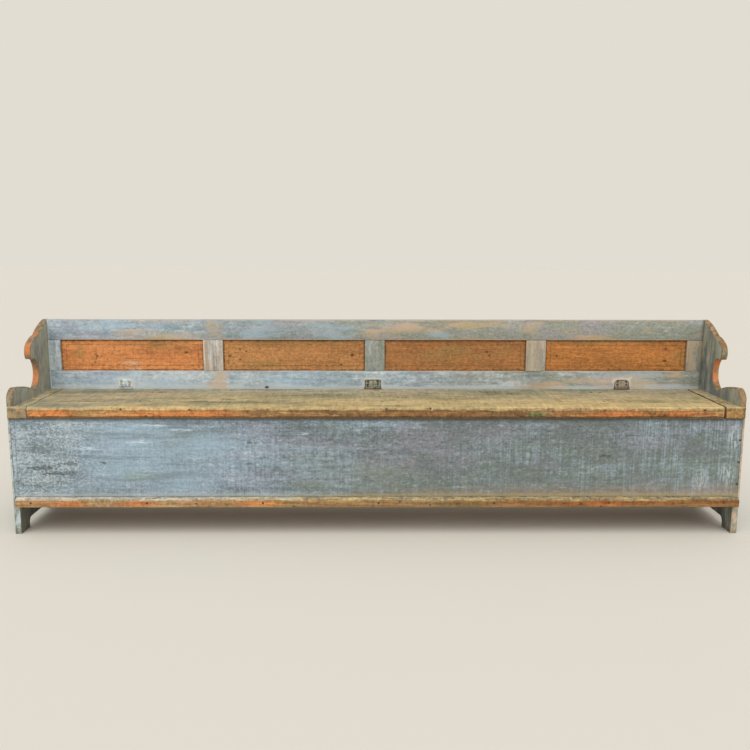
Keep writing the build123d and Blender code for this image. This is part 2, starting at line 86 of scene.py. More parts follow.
def colour(name, description, red, green, blue):
    """A colour as it looks on a screen, each part from 0 to 255."""
    return bpy.props.FloatVectorProperty(
        name=name,
        description=description,
        default=(red / 255, green / 255, blue / 255),
        min=0.0,
        max=1.0,
        size=3,
        subtype="COLOR_GAMMA",
    )


def brightness(name, description, default):
    """How strong a light is."""
    return bpy.props.FloatProperty(name=name, description=description, default=default, min=0.0)


def bearing(name, description, default):
    """A turn of the camera."""
    return bpy.props.FloatProperty(name=name, description=description, default=default, subtype="ANGLE")


class BenchSizes(bpy.types.PropertyGroup):
    """Sizes of the wear and of the small shapes on the boards."""

    worn_edge: length("Worn edge", "Rounding of the boards' edges", 0.0022)
    joint_edge: length("Joint edge", "Rounding of the edges at the frame's joints", 0.0006)
    outline_edge: length("Outline edge", "Rounding of the end boards' outline", 0.0018)
    hollows: length("Hollows", "Depth of the plane marks and dips in the boards", 0.0009)
    nose_top: length("Lid nose, top", "Rounding of the lid's upper front edge", 0.010)
    nose_bottom: length("Lid nose, bottom", "Rounding of the lid's lower front edge", 0.006)
    field_border: length("Panel border", "Width of the bevelled border of a back panel", 0.022)
    field_drop: length("Panel border drop", "How far the border falls away at the groove", 0.0022)
    moulding_top: length("Moulding, top", "Rounding of the moulding's upper edge", 0.014)
    moulding_bottom: length("Moulding, bottom", "Rounding of the moulding's lower edge", 0.006)


class BenchColours(bpy.types.PropertyGroup):
    """Colours of the paint, the wood under it and the iron."""

    sky: colour("Sky", "Milk paint where it is cleanest", 164, 188, 204)
    blue: colour("Blue", "Milk paint where it is whole", 146, 164, 176)
    slate: colour("Slate", "Milk paint where it is dirty", 102, 110, 113)
    pale: colour("Pale", "Milk paint rubbed thin over its pale ground", 192, 200, 202)
    lilac: colour("Lilac", "Faded patches of the milk paint", 160, 155, 168)
    green: colour("Green", "Yellowed patches of the milk paint", 120, 134, 112)
    straw: colour("Straw", "Ochre ground coat", 190, 168, 118)
    sage: colour("Sage", "Ochre ground coat greyed by dust", 150, 148, 128)
    peach: colour("Peach", "Ground coat rubbed thin", 205, 172, 140)
    orange: colour("Orange", "Wood of the front edges, rubbed bare", 208, 126, 68)
    ochre: colour("Ochre", "Wood of the edges under thin paint", 170, 130, 82)
    olive: colour("Olive", "Greened stain of the panels", 152, 122, 72)
    moss: colour("Moss", "Green stains on the ochre paint", 128, 144, 88)
    umber: colour("Umber", "Dirt worked into worn edges", 92, 66, 38)
    # umber is also painted shadow under the lid's nose, along its lower edge and round the back panels'
    # fields
    panel: colour("Panel", "Stained pine of the back panels", 214, 142, 84)
    panel_dark: colour("Panel grain", "Late wood of the back panels", 164, 102, 56)
    pine: colour("Pine", "Bare pine inside and behind", 186, 156, 116)
    pine_dark: colour("Pine grain", "Late wood of the bare pine", 142, 108, 72)
    # soot is also painted shadow: under the lid, at the back's right end, along the end boards' outline and
    # above the hinges' knuckles
    soot: colour("Soot", "Dirt in cuts and cracks", 66, 66, 60)
    knot: colour("Knot", "Middle of a knot", 70, 44, 26)
    iron: colour("Iron", "Dark skin of the hinges", 84, 80, 58)
    rust: colour("Rust", "Rusted, rubbed iron", 156, 142, 122)
    chalk: colour("Chalk", "Pale ground left bare round the hinges", 222, 222, 214)
    frost: colour("Frost", "Fresh scratches in the milk paint", 204, 220, 232)
    amber: colour("Amber", "Rubbed wood of the front edges, deeper at the right", 184, 110, 50)


class BenchStage(bpy.types.PropertyGroup):
    """Backdrop, light and camera."""

    backdrop: colour("Backdrop", "Backdrop and floor", 226, 221, 210)
    sun: brightness("Lamp", "Strength of the main lamp", 1.55)
    fill: brightness("Fill", "Strength of the light from all round", 0.62)
    eye: bpy.props.FloatVectorProperty(
        name="Camera",
        description="Place of the camera",
        default=(-0.0413, -3.2387, 1.0505),
        size=3,
        subtype="TRANSLATION",
        unit="LENGTH",
    )
    pitch: bearing("Pitch", "Camera below the level", 0.1762)
    turn: bearing("Turn", "Camera to the right", 0.0102)
    roll: bearing("Roll", "Camera to the left about its own axis", 0.0023)


# ---------------------------------------------------------------- shader kit


def feed(tree, slot, value):
    """Gives a node's socket a number, a colour or another node's result."""
    if isinstance(value, Field):
        tree.links.new(value.socket, slot)
    else:
        slot.default_value = value


class Field:
    """A number, colour or vector that varies over a surface. Python's operators on it add Math nodes."""

    def __init__(self, tree, socket):
        self.tree = tree
        self.socket = socket

    def maths(self, operation, *values):
        node = self.tree.nodes.new("ShaderNodeMath")
        node.operation = operation
        for slot, value in zip(node.inputs, values):
            feed(self.tree, slot, value)
        return Field(self.tree, node.outputs[0])

    def __add__(self, other):
        return self.maths("ADD", self, other)

    def __sub__(self, other):
        return self.maths("SUBTRACT", self, other)

    def __mul__(self, other):
        return self.maths("MULTIPLY", self, other)

    def __radd__(self, other):
        return self.maths("ADD", other, self)

    def __rsub__(self, other):
        return self.maths("SUBTRACT", other, self)

    def __rmul__(self, other):
        return self.maths("MULTIPLY", other, self)

    def __rtruediv__(self, other):
        return self.maths("DIVIDE", other, self)

    def __abs__(self):
        return self.maths("ABSOLUTE", self)

    def least(self, other):
        return self.maths("MINIMUM", self, other)

    def most(self, other):
        return self.maths("MAXIMUM", self, other)

    def fraction(self):
        return self.maths("FRACT", self)


def linear(shade):
    """A screen colour as light, with its alpha."""
    parts = [c / 12.92 if c <= 0.04045 else ((c + 0.055) / 1.055) ** 2.4 for c in shade]
    return (*parts, 1.0)


class Finish:
    """A material under way. Its grain runs along one axis of the bench."""

    def __init__(self, name, grain, seed):
        self.material = bpy.data.materials.new(name)
        self.material.use_nodes = True
        self.tree = self.material.node_tree
        self.tree.nodes.clear()
        self.grain = AXES.index(grain)
        self.seed = seed
        self.place = self.add("ShaderNodeTexCoord", output="Object")
        self.x, self.y, self.z = self.split(self.place)
        normal = self.add("ShaderNodeTexCoord", output="Normal")
        self.out_x, self.out_y, self.out_z = self.split(normal)
        shades = bpy.context.scene.bench_colours
        self.shades = {name: linear(getattr(shades, name)) for name in BenchColours.__annotations__}

    def add(self, kind, settings=None, sockets=None, output=0):
        """A new node with these settings and sockets, as the result it gives."""
        node = self.tree.nodes.new(kind)
        for key, value in (settings or {}).items():
            setattr(node, key, value)
        for key, value in (sockets or {}).items():
            feed(self.tree, node.inputs[key], value)
        return Field(self.tree, node.outputs[output])

    def split(self, vector):
        node = self.tree.nodes.new("ShaderNodeSeparateXYZ")
        feed(self.tree, node.inputs[0], vector)
        return [Field(self.tree, out) for out in node.outputs]

    def shade(self, which):
        return self.shades[which] if isinstance(which, str) else which

    def mix(self, amount, first, second):
        """first where amount is 0 and second where it is 1."""
        sockets = {0: amount, 6: self.shade(first), 7: self.shade(second)}
        return self.add("ShaderNodeMix", {"data_type": "RGBA"}, sockets, output=2)

    def coats(self, tint, *layers):
        """A colour under further coats, each given by how strongly it lies where, and by its colour."""
        for amount, shade in layers:
            tint = self.mix(amount, tint, shade)
        return tint

    def dim(self, tint, amount):
        """The colour times a number."""
        return self.add("ShaderNodeVectorMath", {"operation": "SCALE"}, {0: tint, "Scale": amount})

    def rise(self, value, low, high, start=0.0, end=1.0):
        """start below low, end above high, smooth between."""
        ends = {"From Min": low, "From Max": high, "To Min": start, "To Max": end}
        smooth = {"interpolation_type": "SMOOTHSTEP"}
        return self.add("ShaderNodeMapRange", smooth, {"Value": value, **ends})

    def fall(self, value, low, high):
        """1 below low, 0 above high, smooth between."""
        return self.rise(value, low, high, 1.0, 0.0)

    def waves(self, stretch, detail, rough, seed):
        """Noise from 0 to 1 with this many waves a metre along each axis."""
        shift = self.seed + seed
        sockets = {"Vector": self.place, "Location": (shift, 1.7 * shift, -shift), "Scale": stretch}
        place = self.add("ShaderNodeMapping", sockets=sockets)
        sockets = {"Vector": place, "Scale": 1.0, "Detail": detail, "Roughness": rough}
        return self.add("ShaderNodeTexNoise", sockets=sockets)

    def noise(self, along, across, detail, rough, seed):
        """Noise that is stretched along the grain."""
        stretch = [across] * 3
        stretch[self.grain] = along
        return self.waves(stretch, detail, rough, seed)

    def fleck(self, along, across, level, seed):
        """1 on the specks where noise is above the level, about a sixth of the surface at 0.6."""
        return self.rise(self.noise(along, across, 3.0, 0.65, seed), level, level + 0.06)

    def away(self, middle, reach):
        """Distance from a point as a share of the reach along each axis. 0 leaves its axis out."""
        scale = [1 / r if r else 0.0 for r in reach]
        shift = [-m * s for m, s in zip(middle, scale)]
        sockets = {"Vector": self.place, "Location": shift, "Scale": scale}
        place = self.add("ShaderNodeMapping", sockets=sockets)
        return self.add("ShaderNodeVectorMath", {"operation": "LENGTH"}, {0: place}, output=1)

    def patch(self, middle, reach, ragged=0.0, edge=0.5):
        """1 round a point, fading to 0 at its reach over the share that edge gives.

        ragged moves the border in and out.
        """
        return self.fall(self.away(middle, reach) + ragged, 1 - edge, 1.0)

    def patches(self, places, ragged, edge=0.5):
        """The strongest of several patches, each a middle and a reach."""
        found = self.patch(*places[0], ragged, edge)
        for middle, reach in places[1:]:
            found = found.most(self.patch(middle, reach, ragged, edge))
        return found

    def edge_gap(self, low, high):
        """Distance from the nearest edge of a box, on its surface."""
        gaps = []
        for value, near, far in zip((self.x, self.y, self.z), low, high):
            gaps.append((value - near).least(far - value))
        first, second, third = gaps
        total = first + second + third
        return total - first.least(second).least(third) - first.most(second).most(third)

    def pine(self, light, dark, rings, depth, fuzz, knots=()):
        """Colour and relief of sawn pine.

        rings is how many year rings cross a metre, depth and fuzz say how strong they and the fibres are,
        and each knot is a middle and a reach.
        """
        across = self.z if self.grain == X else self.x
        bend = self.noise(0.7, 3.5, 3.0, 0.5, 3.0)
        cut = across * rings + self.y * (rings * 0.4) + bend * (rings * 0.11)
        core = None
        for middle, reach in knots:
            away = self.away(middle, [3.2 * r for r in reach])
            cut = cut + 1.9 / (1.0 + (away * away) * 5.0)
            ring = self.fall(away, 0.2, 0.44)
            core = ring if core is None else core.most(ring)
        ring = cut.fraction()
        late = self.rise(ring, 0.15, 0.8) - self.rise(ring, 0.86, 1.0)
        fibre = self.noise(8.0, 130.0, 4.0, 0.7, 5.0)
        clouds = self.noise(2.5, 12.0, 5.0, 0.66, 7.0)
        tone = late * depth + sway(fibre, fuzz * 1.6) + sway(clouds, 1.4)
        tint = self.mix(self.rise(tone + 0.25, -0.1, 0.9), light, dark)
        if core is not None:
            tint = self.mix(core * 0.75, tint, "knot")
        return tint, late * 0.4 + fibre * 0.6

    def done(self, tint, relief, rough, height=0.0004, shine=0.25):
        """Closes the material: colour, roughness and the relief's height in metres."""
        shader = self.tree.nodes.new("ShaderNodeBsdfPrincipled")
        feed(self.tree, shader.inputs["Base Color"], self.shade(tint))
        feed(self.tree, shader.inputs["Roughness"], rough)
        shader.inputs["Specular IOR Level"].default_value = shine
        bump = self.add("ShaderNodeBump", sockets={"Height": relief, "Distance": height})
        feed(self.tree, shader.inputs["Normal"], bump)
        output = self.tree.nodes.new("ShaderNodeOutputMaterial")
        self.tree.links.new(shader.outputs[0], output.inputs["Surface"])
        return self.material


# ---------------------------------------------------------------- workbench


@contextmanager
def editing():
    """Edit mode for the active piece."""
    bpy.ops.object.mode_set(mode="EDIT")
    yield
    bpy.ops.object.mode_set(mode="OBJECT")


def take_up(piece):
    """Selects the piece alone and makes it the active one."""
    bpy.ops.object.select_all(action="DESELECT")
    piece.select_set(True)
    bpy.context.view_layer.objects.active = piece


def block(name, low, high):
    """A block with these corners as a new piece at the origin."""
    bpy.ops.object.select_all(action="DESELECT")
    middle = [(a + b) / 2 for a, b in zip(low, high)]
    bpy.ops.mesh.primitive_cube_add(size=1, location=middle)
    piece = bpy.context.active_object
    piece.name = name
    piece.data.name = name
    piece.scale = [b - a for a, b in zip(low, high)]
    bpy.ops.object.transform_apply(location=True, rotation=True, scale=True)
    return piece


def copy_of(node, name):
    """The node's shape as a new piece, its loose triangles joined to whole faces."""
    piece = bpy.data.objects.new(name, NODES[node].data.copy())
    piece.data.name = name
    piece.data.materials.clear()
    bpy.context.scene.collection.objects.link(piece)
    take_up(piece)
    with editing():
        bpy.ops.mesh.select_all(action="SELECT")
        bpy.ops.mesh.remove_doubles(threshold=0.00002)
        bpy.ops.mesh.dissolve_limited(angle_limit=math.radians(0.6))
    return piece


def pick(piece, kind, test):
    """In edit mode, selects the corners, edges or faces that pass the test and nothing else."""
    modes = {"verts": "VERT", "edges": "EDGE", "faces": "FACE"}
    bpy.ops.mesh.select_mode(type=modes[kind])
    bpy.ops.mesh.select_all(action="DESELECT")
    shape = bmesh.from_edit_mesh(piece.data)
    for part in getattr(shape, kind):
        part.select_set(bool(test(part)))
    shape.select_flush_mode()
    bmesh.update_edit_mesh(piece.data)


def middle_of(edge):
    return (edge.verts[0].co + edge.verts[1].co) / 2


def runs_along(edge, axis):
    """True if the edge is parallel to the axis."""
    way = edge.verts[1].co - edge.verts[0].co
    return way.length > 0 and abs(way[axis]) > 0.999 * way.length


def front_edge(low, high, upper, within=NEAR):
    """A test for the upper or the lower edges along the front of a box, this near to its face."""
    middle = (low.z + high.z) / 2

    def passes(edge):
        place = middle_of(edge)
        return runs_along(edge, X) and place.y < low.y + within and (place.z > middle) == upper

    return passes


def round_edges(piece, test, radius, steps=2):
    """Rounds the edges that pass the test."""
    with editing():
        pick(piece, "edges", test)
        bpy.ops.mesh.bevel(offset=radius, segments=steps, profile=0.5, affect="EDGES")


def saw(piece, axis, pitch):
    """Cuts the piece's long faces across the axis, so that they can take a curve."""
    span = piece.dimensions[axis]
    with editing():
        pick(piece, "edges", lambda e: runs_along(e, axis) and e.calc_length() > 2 * pitch)
        bpy.ops.mesh.subdivide(number_cuts=max(1, round(span / pitch)))


def hollow(piece, depth, size):
    """Lets the faces wander inwards by up to depth, as hand-planed boards do."""
    marks = bpy.data.textures.new(piece.name + "_hollows", "CLOUDS")
    marks.noise_scale = size
    marks.noise_depth = 1
    bpy.ops.object.modifier_add(type="DISPLACE")
    wear = piece.modifiers[-1]
    wear.texture = marks
    wear.texture_coords = "GLOBAL"
    wear.mid_level = 1.0
    wear.strength = depth
    bpy.ops.object.modifier_apply(modifier=wear.name)


def clip(place, way):
    """Cuts the active piece off square to the way at a place and closes the cut."""
    normal = Vector(way).normalized()
    with editing():
        bpy.ops.mesh.select_all(action="SELECT")
        bpy.ops.mesh.bisect(plane_co=place, plane_no=normal, use_fill=True, clear_outer=True)


def nick(piece, place, reach, push):
    """Pushes a small dent into an edge."""
    spot = Vector(place)
    with editing():
        pick(piece, "verts", lambda v: (v.co - spot).length < reach / 2)
        bpy.ops.transform.translate(
            value=push,
            use_proportional_edit=True,
            proportional_edit_falloff="SMOOTH",
            proportional_size=reach,
        )


def coat(piece, material):
    """Gives a piece its finish."""
    piece.data.materials.clear()
    piece.data.materials.append(material)


def deliver(piece, body, material, node):
    """Shades the piece smooth between its edges and puts it on the bench in the node's place."""
    take_up(piece)
    bpy.ops.object.shade_smooth_by_angle(angle=math.radians(40))
    coat(piece, material)
    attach(piece, body)
    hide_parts(node)


def board(name, low, high, edge, *axes, pitch=PITCH):
    """A board with worn edges, its faces cut up across these axes and let down into shallow hollows."""
    piece = block(name, low, high)
    round_edges(piece, lambda e: True, edge)
    for axis in axes:
        saw(piece, axis, pitch)
    hollow(piece, bpy.context.scene.bench_sizes.hollows, size=0.12)
    return piece


# ---------------------------------------------------------------- finishes


def sway(value, amount):
    """Noise turned to a change about 0."""
    return (value - 0.5) * amount


def spots(y, *places, deep=0.05):
    """Middles and reaches of patches on a face at y, each given by its x and z and its reach along them."""
    return [((x, y, z), (wide, deep, tall)) for x, z, wide, tall in places]


def milk_paint(fin, light, green, lilac, grit, warm, flow=1.0):
    """Old blue milk paint: clouds of tone and hue, streaks along the grain, chips and grit.

    Gives its colour, its relief and the chips. light and warm are numbers or fields, green and lilac say
    how strong those patches are, grit is the strength of the chips and flow that of the streaks.
    """
    clouds = fin.noise(3.2, 9.0, 6.0, 0.68, 11.0)
    drift = fin.noise(4.0, 11.0, 6.0, 0.72, 12.0)
    streaks = fin.noise(5.0, 80.0, 5.0, 0.72, 13.0)
    chips = fin.noise(34.0, 58.0, 5.0, 0.78, 14.0)
    dust = fin.noise(95.0, 125.0, 2.0, 0.7, 15.0)
    tone = light + sway(clouds, 2.0) + sway(streaks, 1.1 * flow) + sway(chips, 1.5 * grit)
    tint = fin.coats(
        "slate",
        (fin.rise(tone, -0.2, 0.8), "blue"),
        (warm, "sage"),
        (fin.rise(drift, 0.5, 0.64) * lilac, "lilac"),
        (fin.fall(drift, 0.38, 0.5) * green, "green"),
        (fin.rise(tone, 0.62, 1.25) * 0.9, "pale"),
        (fin.fleck(30.0, 100.0, 0.62, 16.0) * 0.25, "pale"),
        (fin.fleck(24.0, 100.0, 0.62, 17.0) * 0.25 * grit, "soot"),
    )
    dirt = 1.0 + sway(dust, 1.1 * grit) + sway(chips, 0.4 * grit) + sway(streaks, 0.5 * flow)
    tint = fin.dim(tint, dirt)
    return tint, streaks * 0.4 + chips * 0.4 + dust * 0.2, chips


def aged_pine(fin):
    """Unpainted pine, darkened by age. Colour and relief."""
    tint, relief = fin.pine("pine", "pine_dark", rings=64.0, depth=0.3, fuzz=0.8)
    stains = fin.noise(2.0, 8.0, 6.0, 0.68, 41.0)
    dust = fin.noise(50.0, 110.0, 3.0, 0.7, 42.0)
    tint = fin.mix(fin.fleck(6.0, 9.0, 0.66, 43.0) * 0.3, tint, "sage")
    return fin.dim(tint, 0.94 + sway(stains, 1.3) + sway(dust, 0.8)), relief


def bare_behind(fin, tint):
    """Leaves the side towards the wall as unpainted, darkened pine."""
    wood = aged_pine(fin)[0]
    return fin.mix(fin.rise(fin.out_y, 0.4, 0.7), tint, wood)


def beside_plate(fin, leaf, ragged):
    """1 on the board beside a hinge's plate, fading to 0 a finger's width away."""
    low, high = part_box(leaf)
    across = abs(fin.x - (low.x + high.x) / 2) - (high.x - low.x) / 2
    return fin.fall(across.most(fin.z - high.z) + ragged, 0.001, 0.012)


def rail_finish(name, low, high, seed, grain, look, patches=(), washes=(), beside=None, plates=()):
    """Blue paint on a board of the back frame, warmer to the right, worn down to its ochre ground in places.

    look holds the lightness, the share that is worn, the strength of the streaks and a shift to warmer
    paint. patches are worn to the ground and washes are clean. beside gives 1 where the board borders a
    panel, and its edge is rubbed pale there, partly a painted highlight, and dirty. The paint is chipped to
    its ground round the plates.
    """
    light, tired, flow, warmer = look
    fin = Finish(name, grain, seed)
    light = light - 0.3 * fin.rise(fin.x, -0.75, -0.25) * light
    sweep = fin.noise(1.5, 5.0, 5.0, 0.66, 24.0)
    warm = fin.rise(fin.x + warmer + sway(sweep, 1.8), -0.7, 0.9) * 0.75
    tint, relief, chips = milk_paint(fin, light, green=0.25, lilac=0.5, grit=0.9, warm=warm, flow=flow)
    streaks = fin.noise(5.0, 60.0, 5.0, 0.7, 23.0)
    edges = fin.noise(7.0, 26.0, 6.0, 0.75, 21.0)
    ragged = sway(streaks, 2.0) + sway(edges, 4.0)
    if washes:
        tint = fin.mix(fin.patches(washes, ragged, 0.95) * 0.5, tint, "sky")
    # paler along the foot of the back, a pale corner at the left end and a painted shadow at the right end
    sill = fin.fall(fin.z + sway(streaks, 0.05), 0.480, 0.492)
    corner = fin.fall(fin.x + sway(chips, 0.012), -1.286, -1.281)
    shadow = fin.rise(fin.x + sway(chips, 0.012), 1.276, 1.286)
    tint = fin.coats(tint, ((sill * 0.7).most(corner * 0.9), "pale"), (shadow * 0.5, "soot"))
    ground = fin.mix(fin.rise(streaks, 0.38, 0.52), "straw", "peach")
    ground = fin.mix(fin.rise(chips, 0.5, 0.62) * 0.25, ground, "ochre")
    stray = fin.noise(3.0, 20.0, 6.0, 0.72, 22.0) + sway(chips, 0.35)
    worn = fin.rise(stray, 0.66 - tired * 0.2, 0.84 - tired * 0.2) * 0.5
    if patches:
        worn = worn.most(fin.patches(patches, ragged, 0.95) * 0.66)
    tint = fin.mix(worn, tint, ground)
    gap = fin.edge_gap(low, high)
    rubbed = fin.fall(gap + sway(chips, 0.020), 0.0005, 0.005)
    grime = fin.fall(gap + sway(chips, 0.012), -0.001, 0.0014) * 0.35
    if beside is not None:
        here = beside(fin)
        # the edge along a panel is rubbed to peach, partly a painted highlight where the edge catches light
        tint = fin.mix(rubbed * here * 0.7, tint, "peach")
        grime = grime * here
    tint = fin.mix(grime, tint, "umber")
    for leaf in plates:
        tint = fin.mix(beside_plate(fin, leaf, sway(chips, 0.05)) * 0.5, tint, "chalk")
    hole = fin.patch((-0.436, low.y, 0.476), (0.012, 0.05, 0.006), sway(chips, 1.5))
    tint = fin.mix(hole * 0.9, tint, "knot")
    return fin.done(bare_behind(fin, tint), relief, 0.86)


def panel_finish(name, seed, low, high, knots, light, dark, olive=(), smears=(), cracks=()):
    """Stained pine of a back panel, with a painted shadow line round its raised field and painted shade,
    with dirt, along its edges.
    """
    fin = Finish(name, "X", seed)
    tint, relief = fin.pine(light, dark, rings=58.0, depth=0.1, fuzz=0.6, knots=knots)
    blotch = fin.noise(6.0, 15.0, 6.0, 0.72, 33.0)
    mottle = fin.noise(70.0, 150.0, 3.0, 0.75, 34.0)
    ragged = sway(fin.noise(8.0, 30.0, 6.0, 0.72, 31.0), 3.2)
    tint = fin.mix(fin.rise(blotch, 0.5, 0.64) * 0.35, tint, dark)
    if olive:
        tint = fin.mix(fin.patches(olive, ragged, 0.95) * 0.65, tint, "olive")
    if smears:
        tint = fin.mix(fin.patches(smears, ragged * 0.6, 0.6) * 0.7, tint, "peach")
    side = (fin.x - low.x).least(high.x - fin.x).least((fin.z - low.z).least(high.z - fin.z))
    border = bpy.context.scene.bench_sizes.field_border
    # painted shadow: a dark line in the crease round the raised field, and darker along the edges in the
    # groove, partly dirt
    line = fin.fall(abs(side - border) + sway(mottle, 0.008), 0.0006, 0.0030) * 0.35
    edge = fin.fall(side + sway(mottle, 0.014), 0.004, 0.009) * 0.7
    tint = fin.mix(line.most(edge), tint, "umber")
    if cracks:
        tint = fin.mix(fin.patches(cracks, sway(mottle, 3.0), 0.7) * 0.5, tint, "umber")
    tint = fin.mix(fin.fleck(45.0, 90.0, 0.63, 35.0) * 0.4, tint, "umber")
    weave = fin.waves((110.0, 20.0, 40.0), 3.0, 0.7, 36.0)
    tint = fin.mix(fin.rise(blotch + sway(mottle, 0.6), 0.52, 0.66) * 0.2, tint, "orange")
    tint = fin.dim(tint, 0.98 + sway(blotch, 0.7) + sway(mottle, 1.5) + sway(weave, 0.8))
    return fin.done(bare_behind(fin, tint), relief * 0.6 + mottle * 0.4, 0.7, shine=0.3)


def bare_pine_finish(name, grain, seed):
    """A board that was never painted."""
    fin = Finish(name, grain, seed)
    tint, relief = aged_pine(fin)
    return fin.done(tint, relief, 0.82, height=0.0005)


def frame_line():
    """Height of the painted shadow line where the hinges' plates meet their knuckles."""
    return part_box("hinge_pin_centre")[1].z + 0.001


def iron_finish(name, seed, skin, worn, share, rim=None, box=None):
    """Forged iron: its skin, worn or painted over a share of it, and the colour along the edges of its box.

    A plate with a box has a painted shadow line above its knuckles.
    """
    fin = Finish(name, "X", seed)
    pits = fin.noise(110.0, 110.0, 4.0, 0.75, 51.0)
    spots = fin.noise(75.0, 95.0, 4.0, 0.7, 53.0)
    tint = fin.mix(fin.rise(spots, 0.66 - share * 0.3, 0.72 - share * 0.3), skin, worn)
    if rim is not None:
        gap = fin.edge_gap(*box)
        tint = fin.mix(fin.fall(gap + sway(pits, 0.008), 0.002, 0.005) * 0.8, tint, rim)
        # painted shadow of the knuckles along the foot of the plate
        line = abs(fin.z - frame_line()) + sway(pits, 0.006)
        tint = fin.mix(fin.fall(line, 0.0010, 0.0030) * 0.7, tint, "soot")
    tint = fin.dim(tint, 1.0 + sway(pits, 2.4))
    return fin.done(tint, pits, 0.6 + pits * 0.3, height=0.0006)


# ---------------------------------------------------------------- pieces


def beside_panels(fin):
    """1 where a rail of the back borders a panel."""
    groove = 0.010
    found = None
    for node in PANELS:
        low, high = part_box(node)
        middle = (low.x + high.x) / 2
        half = (high.x - low.x) / 2 - groove
        here = fin.fall(abs(fin.x - middle), half - 0.004, half)
        found = here if found is None else found.most(here)
    return found


class BENCH_OT_back_frame(bpy.types.Operator):
    """Makes the rails, stiles and muntins of the back"""

    bl_idname = "bench.back_frame"
    bl_label = "Back frame"

    def execute(self, context):
        sizes = context.scene.bench_sizes
        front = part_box("back_top_rail")[0].y
        worn_top = spots(
            front,
            (-0.83, 0.676, 0.26, 0.024),
            (-0.94, 0.700, 0.10, 0.014),
            (-0.63, 0.700, 0.06, 0.080),
            (0.12, 0.712, 0.17, 0.025),
            (0.36, 0.722, 0.22, 0.020),
            (0.60, 0.712, 0.055, 0.035),
            (0.84, 0.676, 0.10, 0.014),
            (-0.02, 0.690, 0.07, 0.030),
        )
        clean_top = spots(
            front,
            (-1.02, 0.720, 0.20, 0.03),
            (-0.47, 0.700, 0.12, 0.06),
            (-0.18, 0.700, 0.14, 0.05),
            (0.24, 0.685, 0.06, 0.02),
        )
        worn_low = spots(
            front,
            (0.66, 0.485, 0.14, 0.03),
            (-0.62, 0.500, 0.05, 0.06),
            (1.00, 0.475, 0.20, 0.02),
            (1.19, 0.525, 0.06, 0.03),
            (0.95, 0.500, 0.30, 0.03),
        )
        clean_low = spots(
            front,
            (-1.05, 0.515, 0.24, 0.04),
            (-0.85, 0.490, 0.20, 0.05),
            (-0.36, 0.495, 0.30, 0.05),
            (0.62, 0.510, 0.07, 0.03),
            (1.00, 0.510, 0.25, 0.05),
        )
        plates = ["hinge_back_leaf_" + place for place in ("left", "centre", "right")]
        top_look = (0.74, 0.7, 0.8, 0.45)
        low_look = (1.04, 0.1, 0.9, -0.05)
        for seed, (place, edge, *finish) in enumerate(
            (
                ("top", sizes.worn_edge, top_look, worn_top, clean_top, beside_panels),
                ("bottom", sizes.joint_edge, low_look, worn_low, clean_low, beside_panels, plates),
            ),
            1,
        ):
            node = f"back_{place}_rail"
            low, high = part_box(node)
            paint = rail_finish(place + "_rail_paint", low, high, seed, "X", *finish)
            piece = board("back_rail_" + place, low, high, edge, X)
            deliver(piece, "carcass", paint, node)
        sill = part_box("back_bottom_rail")[1]
        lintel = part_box("back_top_rail")[0]
        # the ends of an upright are joints, so they are left out of its worn edges
        inside = Vector((0, 0, 0.05))
        looks = (
            (0.95, 0.2, 1.2, -0.3),
            (1.0, 1.5, 3.2, 1.0),
            (0.58, 0.6, 1.4, 0.5),
            (0.80, 1.5, 1.8, 0.3),
            (0.42, 1.5, 2.8, 0.6),
        )
        for seed, (node, look) in enumerate(zip(POSTS, looks), 3):
            low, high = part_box(node)
            foot = Vector((low.x, front, sill.z))
            head = Vector((high.x, sill.y, lintel.z))
            paint = rail_finish(node + "_paint", foot - inside, head + inside, seed, "Z", look)
            piece = board(node.replace("back_", "back_upright_"), foot, head, sizes.joint_edge, Z)
            deliver(piece, "carcass", paint, node)
        return {"FINISHED"}


